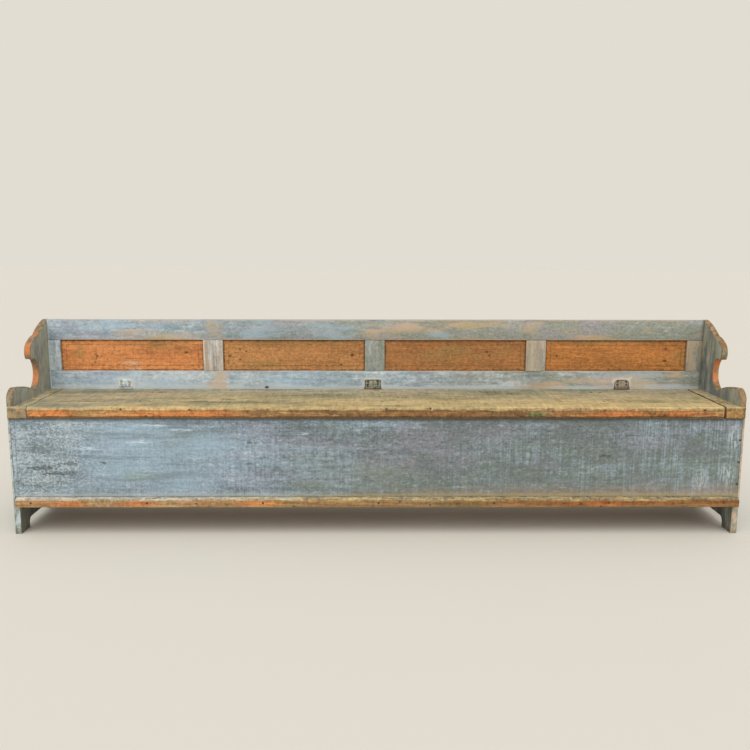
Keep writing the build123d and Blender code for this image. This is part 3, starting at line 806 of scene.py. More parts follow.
class BENCH_OT_back_panels(bpy.types.Operator):
    """Makes the four bevelled panels of the back"""

    bl_idname = "bench.back_panels"
    bl_label = "Back panels"

    def execute(self, context):
        sizes = context.scene.bench_sizes
        shades = context.scene.bench_colours
        light = linear(shades.panel)
        dark = linear(shades.panel_dark)
        # strength of red, green and blue, then the knots, olive patches, smears and cracks
        looks = (
            (
                (1.15, 1.16, 1.22),
                [(-0.75, 0.614, 0.008, 0.005), (-1.10, 0.600, 0.004, 0.004)],
                [(-0.83, 0.65, 0.19, 0.03), (-1.17, 0.62, 0.03, 0.06)],
                [(-0.97, 0.572, 0.05, 0.012), (-0.955, 0.548, 0.04, 0.006)],
                [(-1.105, 0.600, 0.004, 0.028), (-1.112, 0.575, 0.006, 0.012)],
            ),
            (
                (0.81, 0.98, 1.06),
                [
                    (-0.579, 0.600, 0.005, 0.004),
                    (-0.539, 0.628, 0.004, 0.003),
                    (-0.538, 0.586, 0.005, 0.004),
                    (-0.515, 0.618, 0.004, 0.003),
                    (-0.097, 0.604, 0.008, 0.006),
                    (-0.141, 0.566, 0.005, 0.004),
                ],
                [(-0.3, 0.655, 0.4, 0.014), (-0.45, 0.57, 0.1, 0.02)],
            ),
            (
                (0.63, 0.71, 0.72),
                [
                    (0.436, 0.617, 0.005, 0.004),
                    (0.445, 0.603, 0.005, 0.005),
                    (0.337, 0.617, 0.004, 0.003),
                ],
                [(0.30, 0.61, 0.16, 0.05), (0.5, 0.62, 0.05, 0.03)],
            ),
            (
                (0.82, 0.85, 0.68),
                [
                    (0.714, 0.601, 0.005, 0.004),
                    (0.838, 0.585, 0.004, 0.003),
                    (1.146, 0.629, 0.007, 0.006),
                    (1.143, 0.582, 0.008, 0.005),
                ],
                [(1.2, 0.6, 0.05, 0.05), (0.9, 0.655, 0.3, 0.012)],
            ),
        )
        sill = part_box("back_bottom_rail")[1].z
        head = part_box("back_top_rail")[0].z
        lap = 0.002
        face = 0.2
        for i, (node, (strength, knots, *marks)) in enumerate(zip(PANELS, looks)):
            low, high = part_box(node)
            low.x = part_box(POSTS[i])[1].x - lap
            high.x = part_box(POSTS[i + 1])[0].x + lap
            low.z = sill - lap
            high.z = head + lap

            def on_rim(corner):
                """True on the outline of the front face."""
                x, y, z = corner.co
                return y < low.y + NEAR and min(x - low.x, high.x - x, z - low.z, high.z - z) < NEAR

            piece = block(node.replace("back_panel", "back_field"), low, high)
            with editing():
                pick(piece, "faces", lambda f: f.normal.y < -0.9)
                bpy.ops.mesh.inset(thickness=sizes.field_border)
                pick(piece, "verts", on_rim)
                bpy.ops.transform.translate(value=(0, sizes.field_drop, 0))
            saw(piece, X, PITCH)
            saw(piece, Z, PITCH)
            hollow(piece, depth=0.0005, size=0.08)
            tones = [
                (*(part * share for part, share in zip(shade, strength)), 1.0)
                for shade in (light, dark)
            ]
            knots = spots(face, *knots, deep=0)
            marks = [spots(face, *mark, deep=0.1) for mark in marks]
            stain = panel_finish(node + "_stain", 20.0 + i, low, high, knots, *tones, *marks)
            deliver(piece, "carcass", stain, node)
        return {"FINISHED"}


class BENCH_OT_lid(bpy.types.Operator):
    """Makes the lid with its rubbed front edge"""

    bl_idname = "bench.lid"
    bl_label = "Lid"

    def execute(self, context):
        sizes = context.scene.bench_sizes
        low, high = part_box("lid_board")
        piece = block("lid_plank", low, high)
        round_edges(piece, front_edge(low, high, True), sizes.nose_top, 5)
        round_edges(piece, front_edge(low, high, False), sizes.nose_bottom, 3)
        saw(piece, X, FINE_PITCH)
        saw(piece, Y, PITCH)
        hollow(piece, depth=0.0012, size=0.15)
        for x in (-0.905, -0.667, -0.35, 0.03, 0.21, 0.805, 1.16):
            nick(piece, (x, low.y + 0.002, high.z - 0.006), reach=0.016, push=(0, 0.0022, -0.0016))
        for x in (-0.82, -0.55, -0.1, 0.44, 0.98):
            nick(piece, (x, low.y + 0.002, low.z + 0.004), reach=0.020, push=(0, 0.0024, 0.0016))
        deliver(piece, "lid", lid_paint(low, high), "lid_board")
        return {"FINISHED"}


def lid_paint(low, high):
    """Ochre paint on the lid: dusty at the back, yellow in front, rubbed to the wood along its edge."""
    fin = Finish("lid_paint", "X", 30.0)
    streaks = fin.noise(4.0, 34.0, 6.0, 0.72, 1.0)
    clouds = fin.noise(2.0, 8.0, 6.0, 0.7, 2.0)
    blots = fin.noise(30.0, 50.0, 5.0, 0.78, 3.0)
    grain = fin.noise(16.0, 70.0, 4.0, 0.75, 4.0)
    bands = fin.noise(5.0, 15.0, 5.0, 0.7, 8.0)
    scuffs = fin.waves((90.0, 12.0, 60.0), 4.0, 0.7, 9.0)
    smear = fin.noise(14.0, 120.0, 5.0, 0.76, 10.0)
    back = fin.rise(fin.y + sway(clouds, 0.7), -0.14, 0.14)
    left = fin.fall(fin.x + sway(clouds, 2.4), -1.1, -0.5)
    scars = [
        ((-1.10, -0.08, high.z), (0.12, 0.008, 0.02)),
        ((-0.66, -0.084, high.z), (0.07, 0.007, 0.02)),
        ((-0.55, -0.05, high.z), (0.03, 0.008, 0.02)),
        ((0.30, 0.02, high.z), (0.05, 0.006, 0.02)),
        ((0.86, -0.05, high.z), (0.04, 0.006, 0.02)),
    ]
    top = fin.coats(
        "straw",
        (back.most(left * 0.9) * 0.8, "sage"),
        (fin.rise(streaks, 0.52, 0.66) * 0.22, "peach"),
        (fin.fall(clouds, 0.36, 0.52) * 0.5, "green"),
        (fin.rise(clouds + sway(streaks, 1.0), 0.52, 0.68) * 0.4, "ochre"),
        (fin.rise(bands, 0.52, 0.66) * 0.4, "straw"),
        (fin.patches(scars, sway(blots, 4.0)) * 0.7, "umber"),
        (fin.fleck(12.0, 80.0, 0.64, 5.0) * 0.3, "umber"),
    )
    grit = sway(blots, 1.4) + sway(scuffs, 1.2)
    top = fin.dim(top, 0.93 + grit + sway(grain, 0.5) + sway(bands, 0.8) + sway(clouds, 1.6))

    spot = sway(smear, 2.0) + sway(clouds, 3.0)
    flames = spots(
        low.y,
        (-0.72, 0.448, 0.30, 0.030),
        (-1.16, 0.448, 0.12, 0.024),
        (0.86, 0.448, 0.13, 0.024),
        (1.10, 0.450, 0.14, 0.020),
    )
    rightward = fin.rise(fin.x + sway(clouds, 1.5), -0.6, 0.0)
    bare = fin.rise(fin.noise(4.0, 26.0, 6.0, 0.72, 6.0) + sway(smear, 0.6), 0.46, 0.6)
    dull = fin.patch((0.12, low.y, 0.45), (0.85, 0.05, 0.08), spot * 0.3, 0.6)
    # painted highlight: the top of the nose is straw, lighter than the face below it
    nose = fin.rise(fin.z + sway(smear, 0.02) + sway(clouds, 0.02), high.z - 0.016, high.z - 0.008)
    leaf = fin.patch((0.566, low.y, 0.440), (0.05, 0.05, 0.02), spot * 0.3)
    # painted shadow, with some dirt, lies in two thin lines, under the nose and above the lower edge, and
    # darkens the lower edge
    brow = fin.fall(abs(fin.z - high.z + 0.014 + sway(smear, 0.012)), 0.0004, 0.0024) * 0.55
    cut = fin.fall(abs(fin.z - low.z - 0.006 + sway(smear, 0.008)), 0.0014, 0.0038) * 0.85
    foot = fin.fall(fin.z + sway(blots, 0.02), low.z + 0.002, low.z + 0.009) * 0.45
    front = fin.coats(
        "ochre",
        (bare * (0.55 - 0.35 * rightward), "orange"),
        (fin.rise(fin.x + sway(clouds, 1.0), 0.4, 0.8) * 0.5, "amber"),
        (dull * 0.5, "umber"),
        (fin.rise(smear + sway(clouds, 0.6), 0.52, 0.66) * 0.4, "straw"),
        (fin.patches(flames, spot * 0.4, 0.8) * 0.8, "orange"),
        (nose * 0.75, "straw"),
        (leaf * 0.7, "moss"),
        (brow.most(cut).most(foot), "umber"),
        (fin.fleck(40.0, 110.0, 0.60, 7.0) * 0.5, "umber"),
    )
    worn = 0.97 - 0.24 * fin.rise(fin.x, -0.4, 0.8)
    front = fin.dim(front, worn + sway(smear, 1.2) + sway(blots, 1.6) + sway(scuffs, 1.8))

    holes = spots(
        low.y,
        (-0.907, 0.461, 0.006, 0.005),
        (-0.821, 0.437, 0.006, 0.005),
        (-0.667, 0.460, 0.006, 0.005),
        (0.03, 0.462, 0.006, 0.005),
        (0.186, 0.464, 0.006, 0.005),
        (0.807, 0.459, 0.006, 0.005),
        (1.163, 0.459, 0.006, 0.005),
    )
    wood = aged_pine(fin)[0]
    tint = fin.coats(
        front,
        (fin.rise(fin.out_z + sway(smear, 1.2), 0.4, 0.75), top),
        (fin.patches(holes, sway(blots, 1.0), 0.6) * 0.85, "knot"),
        (fin.rise(0.0 - fin.out_z, 0.5, 0.8), wood),
    )
    return fin.done(tint, streaks * 0.5 + blots * 0.5, 0.72, shine=0.3)


class BENCH_OT_seat_ends(bpy.types.Operator):
    """Makes the two fixed strips at the ends of the lid"""

    bl_idname = "bench.seat_ends"
    bl_label = "Seat ends"

    def execute(self, context):
        sizes = context.scene.bench_sizes
        for side, first, share in (("left", "sage", 0.4), ("right", "ochre", 0.5)):
            node = "seat_end_strip_" + side
            low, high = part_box(node)
            piece = copy_of(node, "seat_end_" + side)
            # the strip's front edges are arcs from the start, which reach this far behind its face
            nose = 0.007
            round_edges(piece, front_edge(low, high, True, nose), nose, 4)
            face = low.y + nose
            round_edges(piece, lambda e: runs_along(e, Z) and middle_of(e).y < face, sizes.worn_edge)
            fin = Finish("seat_end_paint_" + side, "Y", 35.0 + low.x)
            blots = fin.noise(28.0, 50.0, 5.0, 0.78, 1.0)
            streaks = fin.noise(6.0, 60.0, 5.0, 0.7, 2.0)
            front = fin.mix((share + sway(blots, 3.0)).least(1.0).most(0.0), first, "ochre")
            front = fin.mix(fin.rise(streaks, 0.44, 0.6) * 0.5, front, "olive")
            top = fin.mix(fin.rise(streaks, 0.42, 0.6), "straw", "sage")
            tint = fin.mix(fin.rise(fin.out_z, 0.3, 0.8), front, top)
            tint = fin.mix(fin.fleck(20.0, 60.0, 0.57, 3.0) * 0.5, tint, "umber")
            tint = fin.dim(tint, 0.93 + sway(blots, 2.6) + sway(streaks, 1.8))
            gap = fin.edge_gap(low, high)
            tint = fin.mix(fin.fall(gap + sway(blots, 0.016), 0.001, 0.003) * 0.4, tint, "umber")
            deliver(piece, "carcass", fin.done(tint, streaks, 0.75), node)
        return {"FINISHED"}


class BENCH_OT_front(bpy.types.Operator):
    """Makes the wide front board of the pull-out bed"""

    bl_idname = "bench.front"
    bl_label = "Front board"

    def execute(self, context):
        sizes = context.scene.bench_sizes
        low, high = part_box("front_panel")
        piece = board("front_board", low, high, sizes.worn_edge, X, Z, pitch=0.04)
        deliver(piece, "pull_out", front_paint(low, high), "front_panel")
        return {"FINISHED"}


def front_paint(low, high):
    """Paint of the front board: pale and flaked at the left, slate in the middle, streaked at the right."""
    fin = Finish("front_paint", "X", 40.0)
    x, z = fin.x, fin.z
    bands = fin.noise(1.3, 4.0, 5.0, 0.62, 2.0)
    wander = sway(bands, 1.8)
    left = fin.fall(x + wander, -0.6, 0.15)
    far_left = fin.fall(x + wander * 0.25, -1.15, -0.99)
    right = fin.rise(x + wander * 0.4, 0.78, 1.05)
    brush = fin.waves((150.0, 3.0, 5.0), 4.0, 0.65, 4.0)
    ribs = 0.9 + fin.rise(x + wander, -0.1, 0.7) * 0.6 + right * 0.8
    light = left * 0.48 + right * 0.04 + sway(brush, ribs)
    warm = fin.fall(left, 0.2, 0.8) * 0.10
    tint, relief, chips = milk_paint(fin, light, green=0.16, lilac=0.27, grit=1.1, warm=warm, flow=0.7)
    washes = spots(
        low.y,
        (-0.93, 0.270, 0.20, 0.100),
        (-0.72, 0.200, 0.14, 0.060),
        (-0.90, 0.375, 0.20, 0.035),
        (-0.62, 0.330, 0.12, 0.050),
    )
    wash = fin.patches(washes, sway(chips, 4.0) + sway(bands, 3.0), 0.9)
    flakes = fin.noise(90.0, 140.0, 5.0, 0.85, 6.0)
    islands = sway(fin.noise(10.0, 22.0, 5.0, 0.7, 8.0), 0.5)
    tint = fin.coats(
        tint,
        (wash * 0.42, "sky"),
        (fin.rise(flakes + islands, 0.48, 0.60) * far_left * 0.62, "pale"),
        (fin.fall(flakes + islands, 0.40, 0.49) * far_left * 0.5, "slate"),
    )
    tint = fin.dim(tint, 1.0 + sway(flakes, 0.9))
    rubbed = fin.mix(fin.rise(bands, 0.44, 0.58), "lilac", "peach")
    drags = fin.noise(2.2, 26.0, 6.0, 0.74, 11.0)
    damp_and_shadow = spots(
        low.y,
        (0.02, 0.235, 0.26, 0.08),
        (-0.24, 0.180, 0.14, 0.04),
        (-0.86, 0.215, 0.08, 0.02),
    )
    mossy = fin.patches(damp_and_shadow, sway(bands, 3.0) + sway(chips, 1.5), 0.95)
    strokes = fin.waves((160.0, 30.0, 34.0), 4.0, 0.78, 10.0)
    right_edge = spots(
        low.y,
        (1.278, 0.350, 0.04, 0.07),
        (1.262, 0.220, 0.05, 0.07),
        (1.17, 0.205, 0.04, 0.06),
    )
    peeling = fin.patches(right_edge, sway(strokes, 3.0)) * fin.rise(strokes, 0.48, 0.58)
    low_green = fin.fall(z + sway(bands, 0.5), 0.18, 0.36) * fin.rise(x + wander, -0.3, 0.1)
    line = fin.noise(14.0, 140.0, 4.0, 0.7, 7.0)
    broken = fin.rise(line, 0.42, 0.56)
    scratches = spots(
        low.y,
        (-0.81, 0.400, 0.10, 0.008),
        (-0.70, 0.385, 0.06, 0.006),
        (-0.85, 0.341, 0.06, 0.007),
        (-1.02, 0.318, 0.12, 0.008),
        (-0.62, 0.395, 0.05, 0.006),
        (-0.28, 0.372, 0.05, 0.006),
    )
    scars = spots(
        low.y,
        (-1.20, 0.245, 0.070, 0.010),
        (-1.14, 0.225, 0.090, 0.008),
        (-1.10, 0.262, 0.040, 0.012),
        (-0.98, 0.265, 0.014, 0.007),
        (-0.46, 0.340, 0.012, 0.005),
        (0.82, 0.290, 0.030, 0.008),
    )
    seam = fin.patch((-1.289, low.y, 0.27), (0.0022, 0.05, 9.0))
    # painted shadow under the lid's overhang along the top of the board
    top = fin.rise(z + sway(flakes, 0.03), high.z - 0.016, high.z - 0.002)
    stain = fin.fall(z + sway(bands, 0.12), 0.150, 0.200) * fin.rise(x + wander, -0.1, 0.3) * 0.22
    foot = fin.fall(z + sway(flakes, 0.05) + sway(bands, 0.03), 0.144, 0.158) * 0.4
    gap = fin.edge_gap(low, high)
    tint = fin.coats(
        tint,
        (fin.fleck(24.0, 70.0, 0.6, 9.0) * fin.fall(left, 0.1, 0.9) * 0.12, rubbed),
        (fin.rise(drags, 0.53, 0.64) * left * 0.45, "slate"),
        (mossy * 0.2, "moss"),
        (peeling * 0.9, "pale"),
        (low_green * 0.18, "green"),
        (fin.patches(scratches, sway(line, 2.4)) * broken * 0.8, "frost"),
        (fin.patches(scars, sway(flakes, 3.5)) * 0.6, "soot"),
        (seam * 0.4, "soot"),
        (top * 0.6, "soot"),
        (stain, "ochre"),
        (foot, fin.mix(left * 0.8, "straw", "pale")),
        (fin.fall(gap + sway(chips, 0.016), 0.0, 0.003) * 0.5, "sage"),
        # the joint with the moulding is full of dirt
        (fin.fall(z, 0.140, 0.1415) * 0.8, "umber"),
    )
    return fin.done(bare_behind(fin, tint), relief * 0.7 + brush * 0.3, 0.85, height=0.0005)


class BENCH_OT_moulding(bpy.types.Operator):
    """Makes the rounded moulding along the foot of the front board"""

    bl_idname = "bench.moulding"
    bl_label = "Moulding"

    def execute(self, context):
        sizes = context.scene.bench_sizes
        low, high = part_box("front_moulding")
        piece = block("foot_moulding", low, high)
        round_edges(piece, front_edge(low, high, True), sizes.moulding_top, 6)
        round_edges(piece, front_edge(low, high, False), sizes.moulding_bottom, 4)
        saw(piece, X, FINE_PITCH)
        hollow(piece, depth=0.0014, size=0.10)
        for x in (-0.65, -0.3, 0.08, 0.19, 0.73, 0.80, 1.1):
            nick(piece, (x, low.y + 0.001, low.z + 0.008), reach=0.016, push=(0, 0.0022, 0.0014))
        paint = moulding_paint(low, high)
        deliver(piece, "pull_out", paint, "front_moulding")
        return {"FINISHED"}


def moulding_paint(low, high):
    """The moulding's paint: straw above, ochre in front, rubbed to orange wood in patches."""
    fin = Finish("moulding_paint", "X", 50.0)
    clouds = fin.noise(2.6, 12.0, 6.0, 0.7, 1.0)
    streaks = fin.noise(6.0, 90.0, 5.0, 0.75, 2.0)
    blots = fin.noise(40.0, 70.0, 5.0, 0.8, 3.0)
    scuffs = fin.waves((120.0, 60.0, 60.0), 4.0, 0.75, 6.0)
    grit = sway(streaks, 1.6) + sway(blots, 1.6) + sway(scuffs, 1.4)
    spot = sway(blots, 2.5) + sway(clouds, 2.0)
    left = fin.fall(fin.x + sway(clouds, 2.0), -0.9, 0.1)
    bare = fin.rise(clouds + sway(blots, 0.7), 0.46, 0.6)
    flames = spots(
        low.y,
        (0.82, 0.118, 0.12, 0.03),
        (-1.10, 0.118, 0.10, 0.02),
        (-0.86, 0.120, 0.10, 0.02),
        (-0.42, 0.120, 0.14, 0.02),
    )
    brow = fin.rise(fin.z + sway(streaks, 0.02), high.z - 0.016, high.z - 0.006)
    lip = fin.fall(fin.z + sway(blots, 0.012), low.z + 0.002, low.z + 0.008)
    front = fin.coats(
        "ochre",
        (bare * (0.05 + left * 0.3), "orange"),
        (fin.rise(streaks, 0.46, 0.6) * 0.4, "straw"),
        (fin.rise(blots, 0.54, 0.64) * 0.5, "umber"),
        (fin.rise(scuffs, 0.52, 0.62) * left * 0.5, "lilac"),
        (fin.fall(left, 0.2, 0.9) * 0.3, "umber"),
        (fin.fall(clouds, 0.42, 0.54) * 0.45, "moss"),
        (fin.rise(fin.x + sway(clouds, 1.0), 0.2, 0.8) * 0.5, "amber"),
        (fin.patches(flames, spot * 0.4, 0.8) * 0.7, "orange"),
        (fin.fleck(36.0, 70.0, 0.58, 4.0) * 0.5, "umber"),
        (brow * 0.35, "olive"),
        (lip * 0.5, "straw"),
    )
    rightward = fin.rise(fin.x, -0.4, 1.1)
    front = fin.dim(front, 1.0 - rightward * 0.2)
    top = fin.coats(
        "sage",
        (fin.rise(blots, 0.42, 0.56), "straw"),
        (left * 0.5, "pale"),
        (fin.fleck(30.0, 60.0, 0.57, 5.0) * 0.45, "umber"),
    )
    tint = fin.mix(fin.rise(fin.out_z + sway(streaks, 1.4) + sway(blots, 0.8), 0.25, 0.9), front, top)
    tint = fin.dim(tint, 0.93 - rightward * 0.17 + grit)
    holes = spots(
        low.y,
        (0.731, 0.119, 0.007, 0.005),
        (0.804, 0.110, 0.007, 0.005),
        (0.08, 0.127, 0.007, 0.005),
        (0.188, 0.115, 0.007, 0.005),
        (-0.65, 0.12, 0.007, 0.005),
        (-0.3, 0.11, 0.007, 0.005),
    )
    nails = fin.patches(holes, sway(blots, 1.0), 0.6)
    grime = fin.fall(fin.z + sway(blots, 0.010), low.z, low.z + 0.003)
    tint = fin.coats(tint, (nails * 0.8, "knot"), (grime * 0.5, "umber"))
    return fin.done(tint, streaks * 0.5 + blots * 0.5, 0.72, shine=0.3)


def outline_points(piece):
    """Places a millimetre apart along the outlines of the piece's two side faces."""
    shape = bmesh.new()
    shape.from_mesh(piece.data)
    found = []
    for edge in shape.edges:
        flat = [abs(face.normal.x) > 0.99 for face in edge.link_faces]
        if any(flat) and not all(flat):
            start, end = (corner.co.copy() for corner in edge.verts)
            steps = max(1, round((end - start).length / 0.001))
            found += [start.lerp(end, i / steps) for i in range(steps + 1)]
    shape.free()
    return found


class BENCH_OT_end_boards(bpy.types.Operator):
    """Makes the two shaped end boards with their rubbed outline"""

    bl_idname = "bench.end_boards"
    bl_label = "End boards"

    def execute(self, context):
        sizes = context.scene.bench_sizes
        for side, way in (("left", 1.0), ("right", -1.0)):
            node = side + "_end_board"
            piece = copy_of(node, "end_board_" + side)
            low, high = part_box(node)
            faces = (low.x, high.x)

            def on_outline(edge):
                """True on the outline of a side face, apart from the floor and the back."""
                place = middle_of(edge)
                if min(abs(place.x - face) for face in faces) > NEAR / 2 or runs_along(edge, X):
                    return False
                if place.z < 2 * NEAR or place.y > high.y - NEAR / 2:
                    return False
                flat = [f for f in edge.link_faces if abs(f.normal.x) > 0.9]
                return len(flat) == 1 and edge.calc_length() > 0.0001

            round_edges(piece, on_outline, sizes.outline_edge)
            rim = outline_points(piece)
            with editing():
                for axis in (Y, Z):
                    normal = Vector([1.0 if i == axis else 0.0 for i in range(3)])
                    for i in range(1, int((high[axis] - low[axis]) / FINE_PITCH)):
                        place = normal * (low[axis] + i * FINE_PITCH)
                        bpy.ops.mesh.select_all(action="SELECT")
                        bpy.ops.mesh.bisect(plane_co=place, plane_no=normal)
            tree = KDTree(len(rim))
            for i, place in enumerate(rim):
                tree.insert(place, i)
            tree.balance()
            gaps = [tree.find(v.co)[2] for v in piece.data.vertices]
            inset = piece.data.attributes.new("from_edge", "FLOAT", "POINT")
            inset.data.foreach_set("value", gaps)
            deliver(piece, "carcass", end_board_paint(side, way), node)
        return {"FINISHED"}


# strength of the runs, threshold of the ripe ochre, painted shadow inside the foot, paint on the foot's rim
END_LOOKS = {
    "left": (0.35, 0.50, 0.50, ("green", "pale")),
    "right": (1.2, 0.44, 0.38, ("sage", "peach")),
}
RUBBED = {
    "left": [
        ((0, -0.01, 0.660), (0, 0.06, 0.060)),
        ((0, 0.08, 0.715), (0, 0.05, 0.03)),
        ((0, 0.06, 0.540), (0, 0.05, 0.045)),
    ],
    "right": [
        ((0, 0.055, 0.590), (0, 0.06, 0.040)),
        ((0, 0.06, 0.54), (0, 0.04, 0.03)),
    ],
}


def end_board_paint(side, way):
    """Grey-green paint with runs down the grain, and ochre wood where the outline was rubbed."""
    fin = Finish("end_board_paint_" + side, "Z", 60.0 + way)
    tint, relief, blots = milk_paint(fin, light=0.42, green=0.6, lilac=0.2, grit=0.9, warm=0.1)
    wide = fin.noise(3.0, 9.0, 5.0, 0.68, 4.0)
    runs = fin.noise(5.0, 30.0, 6.0, 0.74, 1.0)
    depth, ripe, damp_and_shadow, rim_paint = END_LOOKS[side]
    flow = sway(runs, 3.0 * depth) + sway(wide, 2.0) + 0.5
    inner = fin.rise(fin.out_x * way, 0.4, 0.8)
    shade = fin.coats(
        "slate",
        (fin.rise(flow, 0.1, 0.7), "sage"),
        (fin.rise(flow, 0.65, 1.0) * 0.5, "pale"),
        (fin.rise(wide, 0.52, 0.64) * 0.4, "green"),
        (fin.fall(flow, -0.1, 0.15) * 0.4, "soot"),
    )
    shade = fin.dim(shade, 1.25 + sway(blots, 1.8))
    tint = fin.mix(inner * 0.85, tint, shade)
    # painted shadow: the inner face darker low down, inside the foot
    tint = fin.dim(tint, 1.0 - inner * fin.fall(fin.z, 0.06, 0.16) * damp_and_shadow)
    clouds = fin.noise(9.0, 20.0, 6.0, 0.7, 2.0)
    bare = fin.patches(RUBBED[side], sway(clouds, 2.0), 0.7)
    mottle = fin.noise(22.0, 45.0, 6.0, 0.78, 3.0)
    wood = fin.coats(
        "sage",
        (fin.rise(mottle, ripe - 0.08, ripe + 0.06), "ochre"),
        (bare * 0.85, fin.mix(fin.rise(mottle, 0.5, 0.6), "orange", "peach")),
        (fin.rise(mottle + sway(blots, 0.8), 0.5, 0.62) * 0.55, "umber"),
    )
    wood = fin.dim(wood, 0.92 + sway(blots, 1.8))
    upper = fin.rise(fin.z + sway(clouds, 0.08), 0.40, 0.46)
    gap = fin.add("ShaderNodeAttribute", {"attribute_name": "from_edge"}, output="Fac")
    rubbed = fin.fall(gap + sway(blots, 0.022), 0.0005, 0.004 + bare * 0.006) * 0.6
    rim = fin.fall(abs(fin.out_x) + sway(blots, 0.8), 0.5, 0.85)
    lips = rim * fin.fall(gap + sway(blots, 0.010), 0.0015, 0.004) * upper
    pale_rim = fin.mix(fin.rise(blots, 0.42, 0.56), *rim_paint)
    # painted shadow: a dark line along the outline on the inner face
    edge = fin.fall(gap + sway(blots, 0.008), 0.0, 0.0022) * upper * inner * 0.5
    foot = fin.fall(fin.z + sway(blots, 0.06), 0.0, 0.035) * 0.35
    tint = fin.coats(
        tint,
        (rubbed * upper, wood),
        (rim * upper * 0.9, wood),
        (lips * 0.45, fin.mix(bare, "umber", "orange")),
        (rim * (1.0 - upper) * 0.85, pale_rim),
        (edge, "soot"),
        (foot, "umber"),
    )
    return fin.done(bare_behind(fin, tint), relief * 0.6 + runs * 0.4, 0.84)


class BENCH_OT_hinges(bpy.types.Operator):
    """Finishes the three forged hinges and their nails, and clips the right one's worn corners"""

    bl_idname = "bench.hinges"
    bl_label = "Hinges"

    def execute(self, context):
        looks = {
            "left": ("pale", "slate", 0.25, "chalk"),
            "centre": ("sage", "iron", 0.4, "soot"),
            "right": ("rust", "iron", 0.2, "umber"),
        }
        for seed, (place, look) in enumerate(looks.items(), 70):
            leaf = "hinge_back_leaf_" + place
            skin = iron_finish("hinge_iron_" + place, float(seed), *look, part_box(leaf))
            if place == "right":
                low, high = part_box(leaf)
                piece = copy_of(leaf, "hinge_leaf_clipped")
                for corner, way in ((low.x, 1.0), (high.x, -1.0)):
                    for across, down in ((0.006, 0.014), (0.014, 0.005)):
                        start = (corner + way * across, low.y, high.z)
                        clip(start, (-way * down, 0.0, across))
                deliver(piece, "carcass", skin, leaf)
            else:
                coat(NODES[leaf], skin)
            coat(NODES["hinge_lid_leaf_" + place], skin)
            pin = ("rust", "pale", 0.7) if place == "left" else ("soot", "iron", 0.3)
            coat(NODES["hinge_pin_" + place], iron_finish("pin_iron_" + place, float(seed), *pin))
        nail = iron_finish("nail_iron", 75.0, "soot", "umber", 0.4)
        painted = iron_finish("nail_iron_painted", 76.0, "sage", "chalk", 0.4)
        for group in ("hinge_back", "hinge_lid", "carcass", "pull_out", "lid_batten"):
            coat(NODES[group + "_nails"], nail)
        # the left hinge was painted over, nails and all
        nails = NODES["hinge_back_nails"].data
        nails.materials.append(painted)
        for face in nails.polygons:
            face.material_index = 1 if face.center.x < -0.6 else 0
        return {"FINISHED"}


class BENCH_OT_inner_wood(bpy.types.Operator):
    """Finishes the bare boards inside, below and behind"""

    bl_idname = "bench.inner_wood"
    bl_label = "Inner boards"

    def execute(self, context):
        grains = {}
        for node, piece in NODES.items():
            if piece.hide_render or "nail" in node or "hinge" in node:
                continue
            low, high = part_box(node)
            size = high - low
            grains[node] = AXES[max(range(3), key=lambda i: size[i])]
        for seed, (node, grain) in enumerate(sorted(grains.items()), 80):
            coat(NODES[node], bare_pine_finish(node + "_wood", grain, float(seed)))
        return {"FINISHED"}


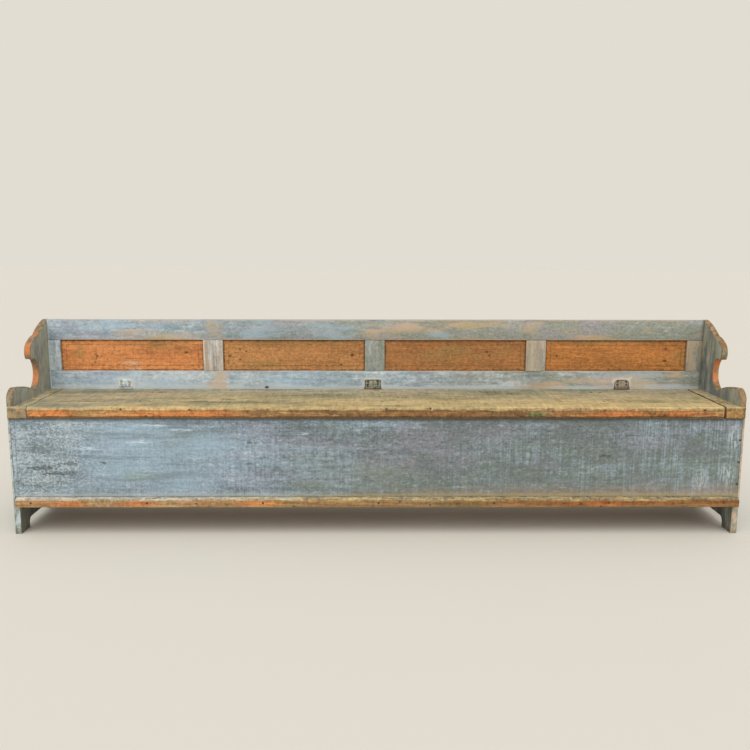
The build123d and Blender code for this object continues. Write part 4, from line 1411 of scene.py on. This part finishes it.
class BENCH_OT_stage(bpy.types.Operator):
    """Makes the floor, the backdrop, the light and the camera"""

    bl_idname = "bench.stage"
    bl_label = "Stage"

    def execute(self, context):
        scene = context.scene
        settings = scene.bench_stage
        bpy.ops.object.select_all(action="DESELECT")
        bpy.ops.mesh.primitive_plane_add(size=60, location=(0, 0, -0.0005))
        floor = context.active_object
        floor.name = "stage_floor"
        material = bpy.data.materials.new("stage_floor")
        material.use_nodes = True
        shader = material.node_tree.nodes["Principled BSDF"]
        # the lamps lift the floor a little above its own colour
        tint = [0.92 * part for part in linear(settings.backdrop)[:3]]
        shader.inputs["Base Color"].default_value = (*tint, 1.0)
        shader.inputs["Roughness"].default_value = 0.9
        shader.inputs["Specular IOR Level"].default_value = 0.1
        floor.data.materials.append(material)
        world = bpy.data.worlds.new("stage_light")
        scene.world = world
        world.use_nodes = True
        tree = world.node_tree
        tree.nodes.clear()
        path = tree.nodes.new("ShaderNodeLightPath")
        seen = Field(tree, path.outputs["Is Camera Ray"])
        seen = seen.most(Field(tree, path.outputs["Is Glossy Ray"]))
        seen = seen.most(Field(tree, path.outputs["Is Transmission Ray"]))
        soft = tree.nodes.new("ShaderNodeBackground")
        soft.inputs["Color"].default_value = (1.0, 0.985, 0.955, 1.0)
        soft.inputs["Strength"].default_value = settings.fill
        plain = tree.nodes.new("ShaderNodeBackground")
        plain.inputs["Color"].default_value = linear(settings.backdrop)
        both = tree.nodes.new("ShaderNodeMixShader")
        feed(tree, both.inputs[0], seen)
        tree.links.new(soft.outputs[0], both.inputs[1])
        tree.links.new(plain.outputs[0], both.inputs[2])
        output = tree.nodes.new("ShaderNodeOutputWorld")
        tree.links.new(both.outputs[0], output.inputs["Surface"])
        for name, share, spread, turn, height in (
            ("main_lamp", 1.0, 60, -14, 50),
            ("side_lamp", 0.35, 70, 40, 35),
        ):
            bpy.ops.object.light_add(type="SUN", location=(0, 0, 3))
            lamp = context.active_object
            lamp.name = name
            lamp.data.energy = settings.sun * share
            lamp.data.angle = math.radians(spread)
            lamp.rotation_euler = (math.radians(90 - height), 0, math.radians(turn))
        bpy.ops.object.camera_add(location=settings.eye)
        camera = context.active_object
        camera.name = "camera"
        camera.data.sensor_width = 36.0
        camera.data.lens = 42.047
        camera.data.shift_y = 0.0284
        camera.data.clip_end = 200.0
        aim = Matrix.Rotation(-settings.turn, 4, "Z")
        aim = aim @ Matrix.Rotation(math.pi / 2 - settings.pitch, 4, "X")
        aim = aim @ Matrix.Rotation(settings.roll, 4, "Z")
        camera.matrix_world = Matrix.Translation(settings.eye) @ aim
        scene.camera = camera
        scene.view_settings.view_transform = "Standard"
        return {"FINISHED"}


class BENCH_PT_sidebar(bpy.types.Panel):
    """Lists the bench's sizes, colours and makers"""

    bl_idname = "BENCH_PT_sidebar"
    bl_label = "Pull-out bench"
    bl_space_type = "VIEW_3D"
    bl_region_type = "UI"
    bl_category = "Bench"

    def draw(self, context):
        column = self.layout.column()
        for maker in MAKERS:
            column.operator(maker.bl_idname)
        for group in ("bench_sizes", "bench_colours", "bench_stage"):
            settings = getattr(context.scene, group)
            box = self.layout.box()
            for name in type(settings).__annotations__:
                box.prop(settings, name)


GROUPS = {
    "bench_sizes": BenchSizes,
    "bench_colours": BenchColours,
    "bench_stage": BenchStage,
}
MAKERS = (
    BENCH_OT_stage,
    BENCH_OT_end_boards,
    BENCH_OT_back_frame,
    BENCH_OT_back_panels,
    BENCH_OT_lid,
    BENCH_OT_seat_ends,
    BENCH_OT_front,
    BENCH_OT_moulding,
    BENCH_OT_hinges,
    BENCH_OT_inner_wood,
)


def register():
    for kind in (*GROUPS.values(), *MAKERS, BENCH_PT_sidebar):
        bpy.utils.register_class(kind)
    for name, kind in GROUPS.items():
        setattr(bpy.types.Scene, name, bpy.props.PointerProperty(type=kind))


def unregister():
    for name in GROUPS:
        delattr(bpy.types.Scene, name)
    for kind in (BENCH_PT_sidebar, *reversed(MAKERS), *reversed(GROUPS.values())):
        bpy.utils.unregister_class(kind)


def main():
    register()
    for maker in MAKERS:
        group, name = maker.bl_idname.split(".")
        getattr(getattr(bpy.ops, group), name)()


if __name__ == "__main__":
    main()
